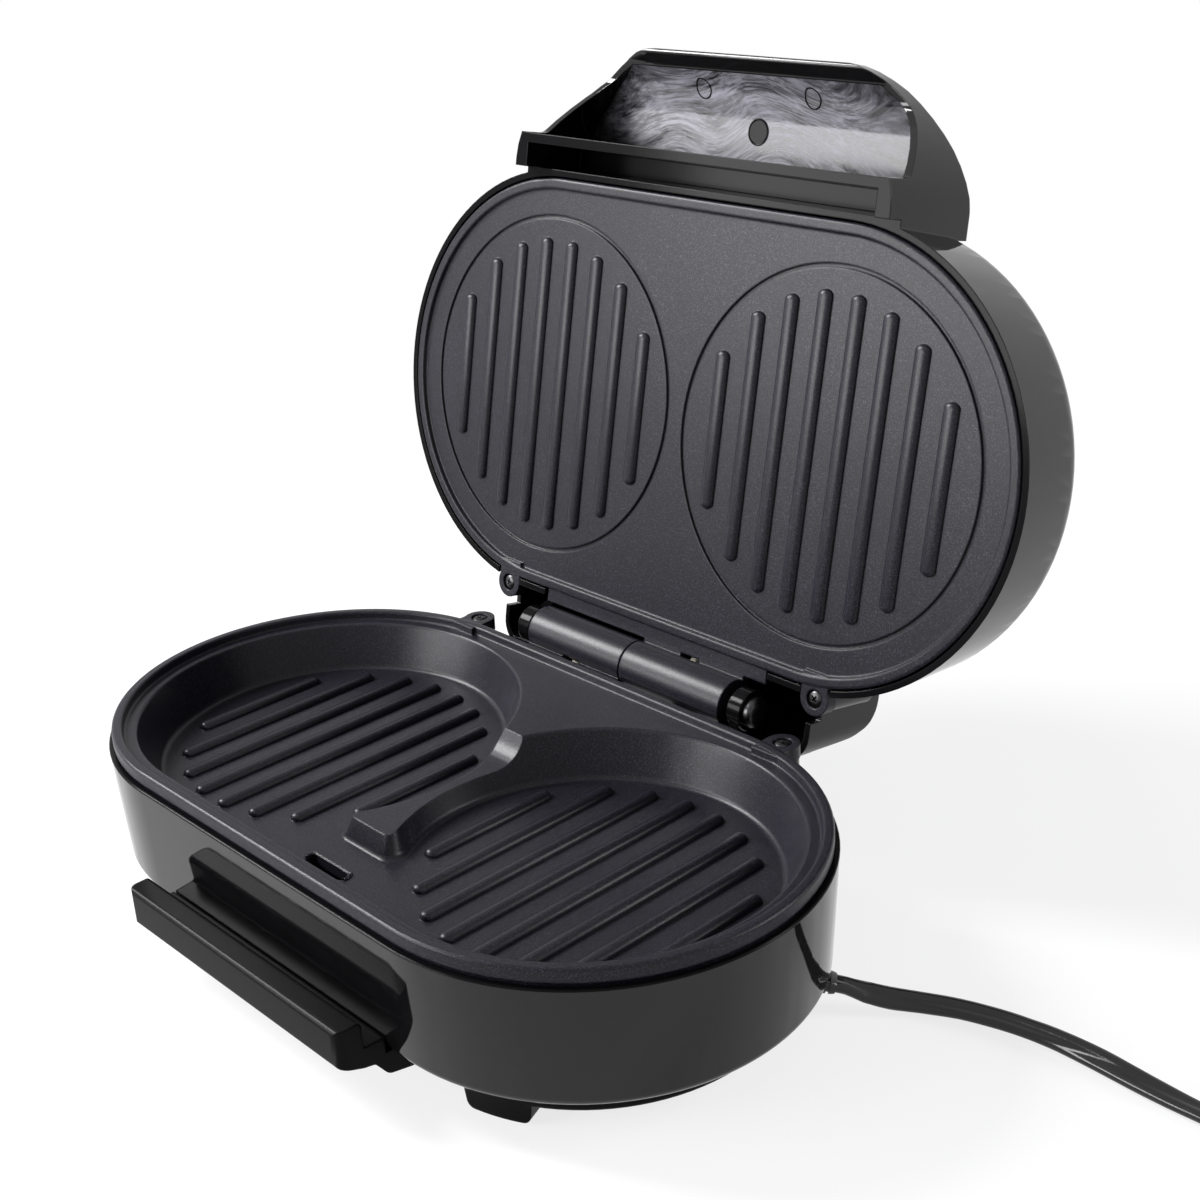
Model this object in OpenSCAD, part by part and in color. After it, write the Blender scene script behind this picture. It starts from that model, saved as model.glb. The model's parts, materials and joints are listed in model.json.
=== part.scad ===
// Two-well breakfast sandwich maker, shown open: a stadium-shaped base and lid on a rear hinge.
// X runs along the wells, Y to the hinge and Z up. The origin is on the table, under the middle.
// Lid pieces are drawn closed over the base and are then swung open about the hinge.

/* [Cooking plates] */
// Distance between the centres of the two wells
well_pitch = 120; // [116:1:126]
// Radius of the round ends of both plates
plate_r = 68.8; // [67.6:0.1:69.2]
// Width of the raised rim
rim_w = 3.6; // [3:0.1:4.5]
// Drop from the rim to the plateau inside it
plateau_drop = 2.9; // [2:0.1:3.5]
// Radius of a well at its top
well_r = 60.9; // [59:0.1:61.5]
// Radius of a well's floor
floor_r = 55.8; // [53:0.1:57]
// Depth of a well below the plateau
well_depth = 14.8; // [12:0.1:16]
// Thickness of the castings
casting_t = 3.2; // [2.6:0.1:3.4]
// Distance between neighbouring ribs
rib_pitch = 12.2; // [11:0.1:13]
// Number of ribs in a well
rib_count = 8; // [4:2:8]
// Half the width of a rib
rib_r = 1.9; // [1.5:0.1:2.2]
// Radius of the circle that the ribs end on
rib_end_r = 49; // [46:0.5:51]
// Depth of the lid plate's face below its rim
lid_face_drop = 1.5; // [1:0.1:2]
// Thickness of the lid plate
lid_plate_t = 2.4; // [2.2:0.1:3.2]
// Radius of the round groove in the lid plate
groove_r = 56.3; // [54:0.1:58]
// Width of the groove
groove_w = 1.2; // [0.8:0.1:2]
// Gap between the two rims when closed
closed_gap = 0.4; // [0.3:0.1:0.8]

/* [Housings] */
// Radius of the base housing's round ends at its top edge
housing_r = 70.3; // [70:0.1:71]
// Radius of the lid housing's round ends at its mating edge
lid_r = 71.4; // [71.2:0.1:72]
// Wall of both housings
wall = 2; // [1.6:0.1:2.2]
// Height of the base housing
housing_h = 37.5; // [34:0.5:42]
// Visible height of the lower plate above the base housing
skirt_h = 5.3; // [5:0.1:6]
// Height of the lid housing
lid_h = 33.3; // [31:0.1:36]
// Inward taper of both housings
housing_taper = 2; // [1:0.1:2.5]
// Rounding of the lid's top edge
lid_round = 10; // [8:0.5:12]
// Rounding of the base housing's bottom edge
base_round = 3; // [2:0.5:4]
// Radius of the round ends of the chassis under the base
cover_r = 59; // [58:0.5:60]
// Height of the chassis under the housing
cover_h = 9.2; // [8.5:0.1:11]
// Height of the legs
leg_h = 6; // [5:0.5:8]

/* [Hinge] */
// Distance of the hinge axis behind the middle of the plates
hinge_y = 82.3; // [82:0.1:83]
// Drop of the hinge axis below the lower rim
hinge_drop = 1.3; // [1:0.1:1.6]
// Outer radius of the hinge barrels
barrel_r = 8; // [7.5:0.1:8.2]
// Radius of the hinge pins
pin_r = 3.5; // [3:0.1:3.8]
// Angle that the lid opens by
open_angle = 101.3; // [95:0.1:103]
// Half the width of the lid's hinge block
block_x = 70; // [68:0.5:72]
// Rounding of the hinge block's rear corners
block_round = 9; // [6:0.5:11]

/* [Handles] */
// Half the width of the base handle
bar_x = 52.3; // [48:0.1:56]
// Front of the base handle, from the middle of the plates
bar_y = 83.5; // [82:0.1:86]
// Height of the base handle's top above the table
bar_top = 28.5; // [27:0.5:31]
// Half the width of the lid handle at its root
hood_x = 77.7; // [74:0.1:80]
// Front of the lid handle, from the middle of the plates
hood_y = 112.5; // [109:0.5:116]
// Wall of the lid handle
hood_wall = 2.6; // [2:0.1:3]
// Wall of the lid handle at its front
nose_wall = 4.6; // [3:0.1:6]

/* [Power cord] */
// Width of the flat twin cord
cord_w = 6.4; // [6:0.1:6.8]
// Thickness of the cord
cord_t = 3.3; // [3:0.1:3.4]
// Outermost radius of the coil's centre line
coil_r = 40.3; // [39:0.1:42]

/* [Hidden] */
$fn = 96;

half = well_pitch / 2;
clear = 0.3;
fit = 0.05;
cut = 1;
// Step where a straight wall carries on from a round one
seam = 0.05;

// Heights above the table
housing_z = leg_h + cover_h;
housing_top = housing_z + housing_h;
rim_z = housing_top + skirt_h;
plateau_z = rim_z - plateau_drop;
floor_z = plateau_z - well_depth;
pan_z = floor_z - casting_t;
hinge_z = rim_z - hinge_drop;
lid_rim_z = rim_z + closed_gap;
lid_face_z = lid_rim_z + lid_face_drop;
lid_back_z = lid_face_z + lid_plate_t;
lid_skirt_z = lid_rim_z + 6;
lid_edge_z = lid_rim_z + 0.3;
lid_top_z = lid_edge_z + lid_h;

// Divider between the wells
ridge_z = plateau_z - 8.1;
island_y = -30.5;
notch_y0 = 14;
notch_y1 = 26;

// Middle of the ribs above a well's floor and inside the lid plate's face
rib_lift = 0.05;
lid_rib_sink = 0.4;

// Hinge details
flange_t = 3;
lower_flange_z = rim_z - 4;
upper_flange_z = lid_rim_z + 1.1;
flange_x = 50;
flange_gap = 0.8;
barrel_left = -47;
barrel_mid = -3;
barrel_right = 41;
ring_w = 5;
ring_r = 6.5;
ring_gap = 2;
pin_head_r = 5;
pin_head_t = 2.6;
pin_depth = 14;
wire_bore_r = 5.5;

// Ears and their screws
ear_x = half + 9.9;
ear_y = 71.9;
ear_r = 5.3;
ear_t = 4.5;
screw_head_r = 2.75;
screw_head_h = 1.8;
screw_sink = screw_head_h + 0.1;
lower_ear_z = rim_z - 0.3;
upper_ear_z = lid_rim_z + 0.4;
screw_r = 1.45;
pilot_r = screw_r + fit;

// Tubular elements
heater_r = 38;
heater_tube_r = 3.2;
heater_end_x = 14;
heater_seat = 0.1;
clamp_reach = 9;
clamp_t = 1.2;
clamp_w = 9;
clamp_angles = [0, 80, -80];

// Chassis and legs
boss_r = 4.5;
cover_screws_at = [for (s = [-1, 1], a = [-25, 25]) [s * (half + 48 * cos(a)), 53 * sin(a)],
                   [0, -(cover_r - 6)], [0, cover_r - 6]];
leg_angles = [-70, 84];
leg_in_r = cover_r - 11;
leg_w = 10.2;
pad_at_r = cover_r - 5.4;
pad_r = 3.4;
pad_t = 1.5;
pad_proud = 0.5;

// Cord outlet, in the rear right of the chassis
outlet_a = 38;
outlet_dip = 12;
outlet_z = leg_h + 4.3;
relief_len = 10.5;
relief_in = 9.6;

// The back of the lid handle is the open lid's rearmost point and gives the middle of the object
lid_round_z = lid_top_z - lid_round;
hood_back_y = -76;
hood_back_z = lid_top_z - 1;
rear_y = hinge_y + (hood_back_y - hinge_y) * cos(open_angle) + (hood_back_z - hinge_z) * sin(open_angle);
middle_y = (rear_y - bar_y) / 2;

// Power cord: route on the table from the outlet to the coil, and its turn from flat to on edge
coil_c = [247, 110];
coil_pitch = 7;
coil_turns = 1.5;
coil_lift = 1.2;
layer_step = cord_t + 0.55;
coil_in_r = coil_r - coil_turns * coil_pitch;
coil_out_turns = 1;
climb_dip = 4.5;
coil_steps = 24;
tail = 30;
coil_z = coil_lift + cord_t / 2;
coil_top_z = coil_z + layer_step;
on_edge = cord_w / 2 + 0.1;
flat = cord_t / 2 + 0.1;
cord_route = [[121, 48, 5.4], [127, 52, 4.1], [133.5, 56.8, on_edge], [143.5, 61.8, on_edge],
              [154.5, 65.4, on_edge], [163, 67.2, on_edge], [172, 68.3, on_edge], [184, 68.9, 2.9],
              [198, 68.9, 2.2], [212, 69.2, flat], [224, 69.6, 2.2], [234, coil_c[1] - coil_r, coil_z]];
cord_rolls = [28, 55, 80, 90, 90, 90, 80, 50, 20, 0, 0, 0];

// Ways to round and sweep

function unit(v) = v / norm(v);
// Corner b of an outline a, b, c with radius r, as an arc
function corner(a, b, c, r, n) =
    let (u = unit(a - b), v = unit(c - b), h = acos(u * v) / 2, m = b + unit(u + v) * r / sin(h),
         p = b + u * r / tan(h) - m, q = b + v * r / tan(h) - m,
         a0 = atan2(p[1], p[0]), turn = (atan2(q[1], q[0]) - a0 + 540) % 360 - 180)
    [for (i = [0:n]) m + r * [cos(a0 + turn * i / n), sin(a0 + turn * i / n)]];
// Outline through [x, y, radius] points
function soft(pts, n = 5) =
    [for (i = [0:len(pts) - 1])
        let (b = pts[i], a = pts[(i + len(pts) - 1) % len(pts)], c = pts[(i + 1) % len(pts)])
        each (b[2] > 0 ? corner([a[0], a[1]], [b[0], b[1]], [c[0], c[1]], b[2], n) : [[b[0], b[1]]])];
// Point of a Bezier curve
function bezier(a, b, c, d, t) =
    a * pow(1 - t, 3) + b * 3 * t * pow(1 - t, 2) + c * 3 * t * t * (1 - t) + d * pow(t, 3);
// Point between b and c of a smooth curve through a, b, c and d
function smooth(a, b, c, d, t) =
    0.5 * (2 * b + (c - a) * t + (2 * a - 5 * b + 4 * c - d) * t * t + (3 * b - 3 * c + d - a) * t * t * t);
function smooth_path(p, n) =
    [for (i = [0:len(p) - 2], k = [0:n - 1])
        smooth(p[max(i - 1, 0)], p[i], p[i + 1], p[min(i + 2, len(p) - 1)], k / n), p[len(p) - 1]];
function heading(p, i) = unit(p[min(i + 1, len(p) - 1)] - p[max(i - 1, 0)]);
// Ring of a flat tube of half width w and half height h round point i, rolled about its own line
function ring(p, i, w, h, roll, sides) =
    let (t = heading(p, i), s0 = unit(cross(abs(t[2]) > 0.95 ? [0, 1, 0] : [0, 0, 1], t)), u0 = cross(t, s0),
         s = s0 * cos(roll) + u0 * sin(roll), u = u0 * cos(roll) - s0 * sin(roll))
    [for (k = [0:sides - 1]) p[i] + s * w * cos(360 * k / sides + 180 / sides)
                                  + u * h * sin(360 * k / sides + 180 / sides)];
module tube(p, w, h, sides, rolls = []) {
    n = len(p);
    points = [for (i = [0:n - 1]) each ring(p, i, w, h, len(rolls) > 0 ? rolls[i] : 0, sides)];
    walls = [for (i = [0:n - 2], k = [0:sides - 1])
        let (a = i * sides + k, b = i * sides + (k + 1) % sides)
        each [[a, a + sides, b], [b, a + sides, b + sides]]];
    first = [for (k = [1:sides - 2]) [0, k, k + 1]];
    end = (n - 1) * sides;
    last = [for (k = [1:sides - 2]) [end, end + k + 1, end + k]];
    polyhedron(points, concat(walls, first, last));
}
// A section of [distance from the line of centres, height], swept round the stadium
module track() {
    for (s = [-1, 1])
        translate([s * half, 0, 0]) rotate([0, 0, -s * 90]) rotate_extrude(angle = 180) children();
    for (s = [0, 1])
        mirror([0, s, 0]) translate([-half, 0, 0]) rotate([90, 0, 90]) linear_extrude(2 * half) children();
}
// A section of [y, z], extruded along X between two places
module along_x(x0, x1) {
    translate([x0, 0, 0]) rotate([90, 0, 90]) linear_extrude(x1 - x0) children();
}
module rod_x(x0, x1, r) {
    translate([x0, 0, 0]) rotate([0, 90, 0]) cylinder(r = r, h = x1 - x0);
}
module at_hinge() { translate([0, hinge_y, hinge_z]) children(); }
module both_sides() {
    children();
    mirror([1, 0, 0]) children();
}
module on_base() { translate([0, -middle_y, 0]) children(); }
module on_lid() {
    on_base() at_hinge() rotate([-open_angle, 0, 0]) translate([0, -hinge_y, -hinge_z]) children();
}
// Pan-head screw whose head stands on the plane z = 0, with a cross recess
module screw(length, head_r = screw_head_r, head_h = screw_head_h, shank_r = screw_r) {
    difference() {
        union() {
            cylinder(r1 = head_r, r2 = head_r * 0.78, h = head_h);
            translate([0, 0, -length]) cylinder(r = shank_r, h = length + 0.1);
        }
        for (a = [0, 90])
            rotate([0, 0, a]) translate([-head_r * 0.55, -0.35, head_h - 0.9])
                cube([head_r * 1.1, 0.7, cut + 0.9]);
    }
}
// Half-round rib along Y that ends on a circle
module rib(x, end_r, z) {
    reach = sqrt(end_r * end_r - x * x) - rib_r;
    translate([x, 0, z]) {
        rotate([90, 0, 0]) cylinder(r = rib_r, h = 2 * reach, center = true, $fn = 32);
        for (s = [-1, 1]) translate([0, s * reach, 0]) sphere(r = rib_r, $fn = 32);
    }
}
module ribs(end_r, z) {
    for (s = [-1, 1], i = [0:rib_count - 1])
        translate([s * half, 0, 0]) rib((i - (rib_count - 1) / 2) * rib_pitch, end_r, z);
}
// Places of the element clamps: [x, y, angle]
clamp_places = [for (s = [-1, 1], a = clamp_angles)
    [s * (half + heater_r * cos(a)), heater_r * sin(a), s > 0 ? a : 180 - a]];
module at_clamps() {
    for (c = clamp_places) translate([c[0], c[1], 0]) rotate([0, 0, c[2]]) children();
}

// Base

module base_shell_section() {
    r_low = housing_r - housing_taper;
    flange_in = cover_r - 13;
    polygon(concat(
        soft([[housing_r, housing_top, 0.6], [r_low, housing_z, base_round], [flange_in, housing_z, 0],
              [flange_in, housing_z + wall, 0], [r_low - wall, housing_z + wall, base_round - wall + 0.5],
              [housing_r - wall, housing_top, 0.6]], 6)));
}
// Arm from the rear wall that carries the right end of the hinge
module hinge_arm() {
    x0 = barrel_right + ring_gap + 0.5;
    difference() {
        union() {
            at_hinge() rod_x(x0, x0 + ring_w, ring_r);
            along_x(x0 + 0.6, x0 + ring_w - 0.6)
                polygon([[hinge_y - 6, hinge_z], [hinge_y, hinge_z], [hinge_y - 1, hinge_z - 6.2],
                         [hinge_y - 3, hinge_z - 12], [housing_r - 2.5, hinge_z - 26],
                         [housing_r - 2.5, hinge_z - 8.4], [hinge_y - 6.2, hinge_z - 6.6]]);
        }
        at_hinge() rod_x(x0 - cut, x0 + ring_w + cut, pin_r + fit);
    }
}
module base_housing() {
    color("#131314") on_base() {
        difference() {
            union() {
                track() base_shell_section();
                both_sides() translate([ear_x, ear_y, housing_top - 20])
                    cylinder(r = ear_r - 0.3, h = 20 + skirt_h - ear_t - 0.6);
                // ribs that stop the open lid
                for (x = [-62, -20, 16, 60])
                    along_x(x, x + 3)
                        polygon([[housing_r - 1.5, hinge_z - 7.5], [hinge_y - 4, hinge_z - 10],
                                 [hinge_y - 1, hinge_z - 11],
                                 [hinge_y - 1, hinge_z - 14], [housing_r - 2, hinge_z - 30]]);
                hinge_arm();
            }
            // keeps the inside open where bosses and ribs meet the wall
            translate([0, 0, housing_z + wall]) track()
                polygon([[0, 0], [cover_r, 0], [housing_r - housing_taper - wall - 0.6, 3],
                         [housing_r - wall - 0.05, housing_h]]);
            // notch for the hinge flange
            translate([-flange_x - 1, housing_r - 4, hinge_z - 6.4]) cube([2 * flange_x + 2, 6, 20]);
            // way for the lid's wires
            translate([-31, housing_r - 4, hinge_z - 13]) cube([10, 6, 12]);
            both_sides() translate([ear_x, ear_y, housing_top - 8]) cylinder(r = pilot_r, h = 20);
            for (p = cover_screws_at) translate([p[0], p[1], housing_z - cut])
                cylinder(r = pilot_r, h = wall + 2 * cut);
        }
        // seats for the plate, round the inside of the wall
        for (s = [-1, 1], a = [-70, -25, 25, 70])
            translate([s * half, 0, 0]) rotate([0, 0, s > 0 ? a : 180 - a])
                translate([housing_r - wall - 3.2, -1, housing_z + wall - 0.1])
                    cube([3, 2, housing_h - wall - 5.6]);
        // bosses over the chassis screws
        for (p = cover_screws_at)
            translate([p[0], p[1], housing_z]) difference() {
                cylinder(r = boss_r, h = 9);
                translate([0, 0, -cut]) cylinder(r = pilot_r, h = 8.5);
            }
    }
}

module leg() {
    intersection() {
        rotate([90, 0, 90]) linear_extrude(cover_r * 2)
            polygon(soft([[-leg_w, leg_h + cut, 0], [-leg_w + 0.8, pad_proud, 2.4], [leg_w - 0.8, pad_proud, 2.4],
                          [leg_w, leg_h + cut, 0]]));
        difference() {
            cylinder(r1 = cover_r - 0.9, r2 = cover_r - 0.6, h = leg_h + cut);
            translate([0, 0, -cut]) cylinder(r = leg_in_r, h = leg_h + 3 * cut);
        }
    }
}
module at_legs() {
    both_sides() for (a = leg_angles) translate([half, 0, 0]) rotate([0, 0, a]) children();
}
module at_pads() {
    at_legs() translate([pad_at_r, 0, 0]) children();
}
module outlet() {
    translate([half, 0, 0]) rotate([0, 0, outlet_a]) translate([cover_r, 0, outlet_z])
        rotate([0, outlet_dip, 0]) children();
}
module handle_section() {
    under = housing_z - clear;
    wall_y = -(housing_r - housing_taper + 0.55);
    polygon(soft([[-bar_y, leg_h + 11, 1.5], [-bar_y, bar_top, 1.5], [-bar_y + 7.9, bar_top, 1.5],
                  [-bar_y + 7.9, leg_h + 14, 1], [wall_y, leg_h + 14, 0], [wall_y, under, 0],
                  [-cover_r + 1, under, 0], [-cover_r + 1, leg_h, 0], [-cover_r - 1.7, leg_h, 2],
                  [-cover_r - 9.5, leg_h + 1.8, 4], [-cover_r - 13.5, leg_h + 7.2, 2],
                  [-cover_r - 17, leg_h + 8, 2]]));
}
module base_cover() {
    color("#1b1b1d") on_base() difference() {
        union() {
            track() polygon(soft([[cover_r, housing_z, 0], [cover_r - 0.6, leg_h, 1.4], [0, leg_h, 0],
                                  [0, leg_h + wall, 0], [cover_r - 2.6, leg_h + wall, 0.5],
                                  [cover_r - wall, housing_z, 0]]));
            at_legs() leg();
            // handle and the bracket that joins it to the chassis
            intersection() {
                along_x(-bar_x, bar_x) handle_section();
                translate([0, 0, leg_h]) linear_extrude(bar_top)
                    polygon(soft([[-bar_x, -cover_r + 3, 0], [-bar_x, -bar_y, 3.2], [bar_x, -bar_y, 3.2],
                                  [bar_x, -cover_r + 3, 0]]));
            }
            for (p = cover_screws_at) translate([p[0], p[1], leg_h]) cylinder(r = boss_r, h = cover_h);
        }
        for (p = cover_screws_at) translate([p[0], p[1], leg_h - cut]) {
            cylinder(r = screw_head_r + 0.6, h = cut + 5);
            cylinder(r = screw_r + 0.2, h = cover_h + 2 * cut);
        }
        at_pads() translate([0, 0, -cut]) cylinder(r = pad_r + 0.1, h = cut + pad_t);
        // slot that the strain relief drops into
        outlet() translate([-6, -4.1, -2.9]) cube([7.5, 8.2, 20]);
        // vents
        for (s = [-1, 1], i = [-3:3])
            translate([s * half + i * 7, 0, leg_h + wall / 2]) cube([2.4, 22, wall + cut], center = true);
    }
}
module foot_pads() {
    color("#242424") on_base() at_pads() cylinder(r = pad_r, h = pad_t);
}
module cover_screws() {
    color("#5a5a5c") on_base() for (p = cover_screws_at)
        translate([p[0], p[1], leg_h + 5]) mirror([0, 0, 1]) screw(11);
}

// Wall of a well from its axis, as [radius, height], with a rounded foot and edge
well_edge = corner([well_r + 9, plateau_z], [well_r + 0.5, plateau_z], [floor_r, floor_z], 1.2, 4);
well_foot = corner([well_r + 0.5, plateau_z], [floor_r, floor_z], [0, floor_z], 2.2, 4);
well_side = concat([[well_edge[0][0], plateau_z + cut]], well_edge, well_foot);
module well() {
    rotate_extrude() polygon(concat([[0, floor_z], [0, plateau_z + cut]], well_side));
}
// Front trough and the low saddle over the divider, as a section of [y, z]
module trough_section() {
    notch_r = (pow(notch_y1 - notch_y0, 2) + pow(plateau_z - ridge_z, 2)) / (2 * (plateau_z - ridge_z));
    notch_a = asin((notch_y1 - notch_y0) / notch_r);
    polygon(concat(
        [for (p = well_side) [-p[0] - seam, p[1]]],
        soft([[-40, floor_z, 0], [-35, floor_z, 1.5], [island_y, ridge_z - 1.4, 1.2], [-24, ridge_z, 6],
              [notch_y0 - 6, ridge_z, 0]]),
        [for (i = [0:8]) [notch_y0 + notch_r * sin(notch_a * i / 8),
                          ridge_z + notch_r * (1 - cos(notch_a * i / 8))]],
        [[notch_y1, plateau_z + cut]]));
}
module lower_ear() {
    difference() {
        union() {
            translate([ear_x, ear_y, lower_ear_z - ear_t]) cylinder(r = ear_r, h = ear_t);
            translate([ear_x - ear_r, plate_r - 5, lower_ear_z - ear_t])
                cube([2 * ear_r - 0.6, ear_y - plate_r + 5, ear_t]);
        }
        translate([ear_x, ear_y, rim_z - 10]) cylinder(r = screw_r + 0.2, h = 20);
        translate([ear_x, ear_y, lower_ear_z - screw_sink]) cylinder(r = screw_head_r + 0.2, h = 5);
    }
}
module barrel_bores(x0, x1, pin_x0, pin_x1) {
    rod_x(x0, x1, wire_bore_r);
    rod_x(pin_x0, pin_x1, pin_r + fit + 0.02);
}
module lower_plate() {
    color("#3a3b3f") on_base() {
        difference() {
            union() {
                // rim, skirt and the tongue inside the housing
                track() polygon(soft([[plate_r, rim_z, 1], [plate_r, housing_top + 0.9, 0.4],
                                      [housing_r - wall - clear, housing_top + 0.9, 0],
                                      [housing_r - wall - clear - 0.2, housing_top - 3.4, 0],
                                      [plate_r - rim_w - 0.4, housing_top - 3.4, 0],
                                      [plate_r - rim_w - 0.4, plateau_z - casting_t, 0],
                                      [0, plateau_z - casting_t, 0], [0, plateau_z, 0],
                                      [plate_r - rim_w, plateau_z, 0.6],
                                      [plate_r - rim_w + 0.4, rim_z, 0.8]]));
                // outsides of the wells and of the trough between them
                for (s = [-1, 1]) translate([s * half, 0, pan_z])
                    cylinder(r1 = floor_r + casting_t - 0.4, r2 = well_r + casting_t,
                             h = plateau_z - 1 - pan_z);
                along_x(-half, half) polygon([[-floor_r - casting_t + 0.4 - seam, pan_z], [18, pan_z],
                                              [26, plateau_z - 1],
                                              [-well_r - casting_t - seam, plateau_z - 1]]);
                both_sides() lower_ear();
                // hinge flange
                along_x(-flange_x, flange_x) polygon([[plate_r - 3, lower_flange_z],
                                                      [plate_r - 3, lower_flange_z - flange_t],
                    [hinge_y - barrel_r - flange_gap, lower_flange_z - flange_t],
                    [hinge_y - barrel_r - flange_gap, lower_flange_z]]);
                along_x(barrel_left, barrel_mid - clear) polygon([[plate_r - 3, lower_flange_z],
                    [plate_r - 3, lower_flange_z - flange_t],
                    [hinge_y, lower_flange_z - flange_t], [hinge_y, lower_flange_z]]);
                at_hinge() rod_x(barrel_left, barrel_mid - clear, barrel_r);
                at_clamps() for (s = [-1, 1])
                    translate([s * clamp_reach, 0, pan_z - 2 * heater_tube_r - heater_seat])
                    cylinder(r = 3.4, h = 2 * heater_tube_r + heater_seat + 0.5);
            }
            for (s = [-1, 1]) translate([s * half, 0, 0]) well();
            along_x(-half, half) trough_section();
            // drip slot
            for (s = [-1, 1]) translate([s * 7.2, -47, pan_z - cut]) cylinder(r = 1.85, h = 10);
            translate([-7.2, -48.85, pan_z - cut]) cube([14.4, 3.7, 10]);
            at_hinge() barrel_bores(barrel_left + pin_depth, barrel_mid + cut, barrel_left - cut,
                                    barrel_left + pin_depth + cut);
            // window for the wires
            at_hinge() rotate([42, 0, 0]) translate([-30, -barrel_r - 3, -3.6]) cube([8, barrel_r + 3, 7.2]);
            at_clamps() for (s = [-1, 1]) translate([s * clamp_reach, 0, pan_z - 10])
                cylinder(r = pilot_r, h = 10.2);
        }
        ribs(rib_end_r, floor_z + rib_lift);
        // raised rear edge of the drip slot
        along_x(-9, 9) polygon(soft([[-45.1, floor_z - 0.5, 0], [-44, floor_z - 0.5, 0],
                                     [-44.2, floor_z + 0.8, 0.3],
                                     [-45, floor_z + 0.8, 0.3]], 3));
    }
}
module base_plate_screws() {
    color("#4a4a4c") on_base() both_sides() translate([ear_x, ear_y, lower_ear_z - screw_sink]) screw(9);
}
module right_hinge_pin() {
    x0 = barrel_right + ring_gap + 0.5;
    color("#2a2a2c") on_base() at_hinge() {
        rod_x(barrel_right - pin_depth + 1, x0 + ring_w + 0.5, pin_r);
        translate([x0 + ring_w + 0.1, 0, 0]) rotate([0, 90, 0])
            cylinder(r1 = pin_head_r, r2 = pin_head_r - 0.7, h = pin_head_t);
    }
}

// Element: a round tube on the stadium, with its two cold ends and terminals in front
module element(z) {
    for (s = [-1, 1]) {
        translate([s * half, 0, z]) rotate([0, 0, -s * 90]) rotate_extrude(angle = 180)
            translate([heater_r, 0]) circle(heater_tube_r, $fn = 32);
        translate([s > 0 ? heater_end_x : -half, -heater_r, z]) rod_x(0, half - heater_end_x, heater_tube_r);
        translate([s > 0 ? heater_end_x - 7 : -heater_end_x, -heater_r, z]) rod_x(0, 7, 1.2);
    }
    translate([-half, heater_r, z]) rod_x(0, 2 * half, heater_tube_r);
}
module clamp_bar(z) {
    at_clamps() translate([0, 0, z]) difference() {
        union() {
            translate([0, 0, clamp_t / 2]) cube([2 * clamp_reach, clamp_w, clamp_t], center = true);
            for (s = [-1, 1]) translate([s * clamp_reach, 0, 0]) cylinder(r = clamp_w / 2, h = clamp_t);
        }
        for (s = [-1, 1]) translate([s * clamp_reach, 0, -cut])
            cylinder(r = screw_r + 0.2, h = clamp_t + 2 * cut);
    }
}
lower_heater_z = pan_z - heater_tube_r - heater_seat;
lower_clamp_z = lower_heater_z - heater_tube_r - clamp_t;
upper_heater_z = lid_back_z + heater_tube_r + heater_seat;
upper_clamp_z = upper_heater_z + heater_tube_r;
module lower_heater() { color("#a9a9a5") on_base() element(lower_heater_z); }
module lower_heater_clamps() { color("#b5b5b2") on_base() clamp_bar(lower_clamp_z); }
module lower_clamp_screws() {
    color("#8f8f8d") on_base() at_clamps() for (s = [-1, 1])
        translate([s * clamp_reach, 0, lower_clamp_z]) mirror([0, 0, 1]) screw(7);
}
module thermostat() {
    color("#c9c2a8") on_base() translate([-half, 0, pan_z]) mirror([0, 0, 1]) {
        cylinder(r = 8.3, h = 1);
        translate([0, 0, 0.9]) cylinder(r = 7, h = 7);
        for (s = [-1, 1]) translate([s * 11, 0, 0.5]) cube([8, 6, 1], center = true);
        for (s = [-1, 1]) translate([s * 4 - 0.4, -2.4, 7.5]) cube([0.8, 4.8, 6]);
    }
}
module thermal_fuse() {
    color("#d8d4c8") on_base() translate([half, 0, pan_z - 2.4]) {
        rotate([90, 0, 0]) cylinder(r = 2.2, h = 14, center = true);
        rotate([90, 0, 0]) cylinder(r = 0.6, h = 26, center = true);
    }
}
module terminal_block() {
    color("#d9d5c4") on_base() translate([half + 24, 14, leg_h + wall]) difference() {
        translate([-9, -13, 0]) cube([18, 26, 10]);
        for (y = [-8, 0, 8]) {
            translate([0, y, 3]) cylinder(r = 2, h = 8);
            translate([-10, y, 4]) rotate([0, 90, 0]) cylinder(r = 1.8, h = 20);
        }
        for (y = [-4, 4]) translate([-10, y - 0.4, 7]) cube([20, 0.8, 4]);
    }
}
module wire(p, r = 1) { tube(smooth_path(p, 3), r, r, 6); }
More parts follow.
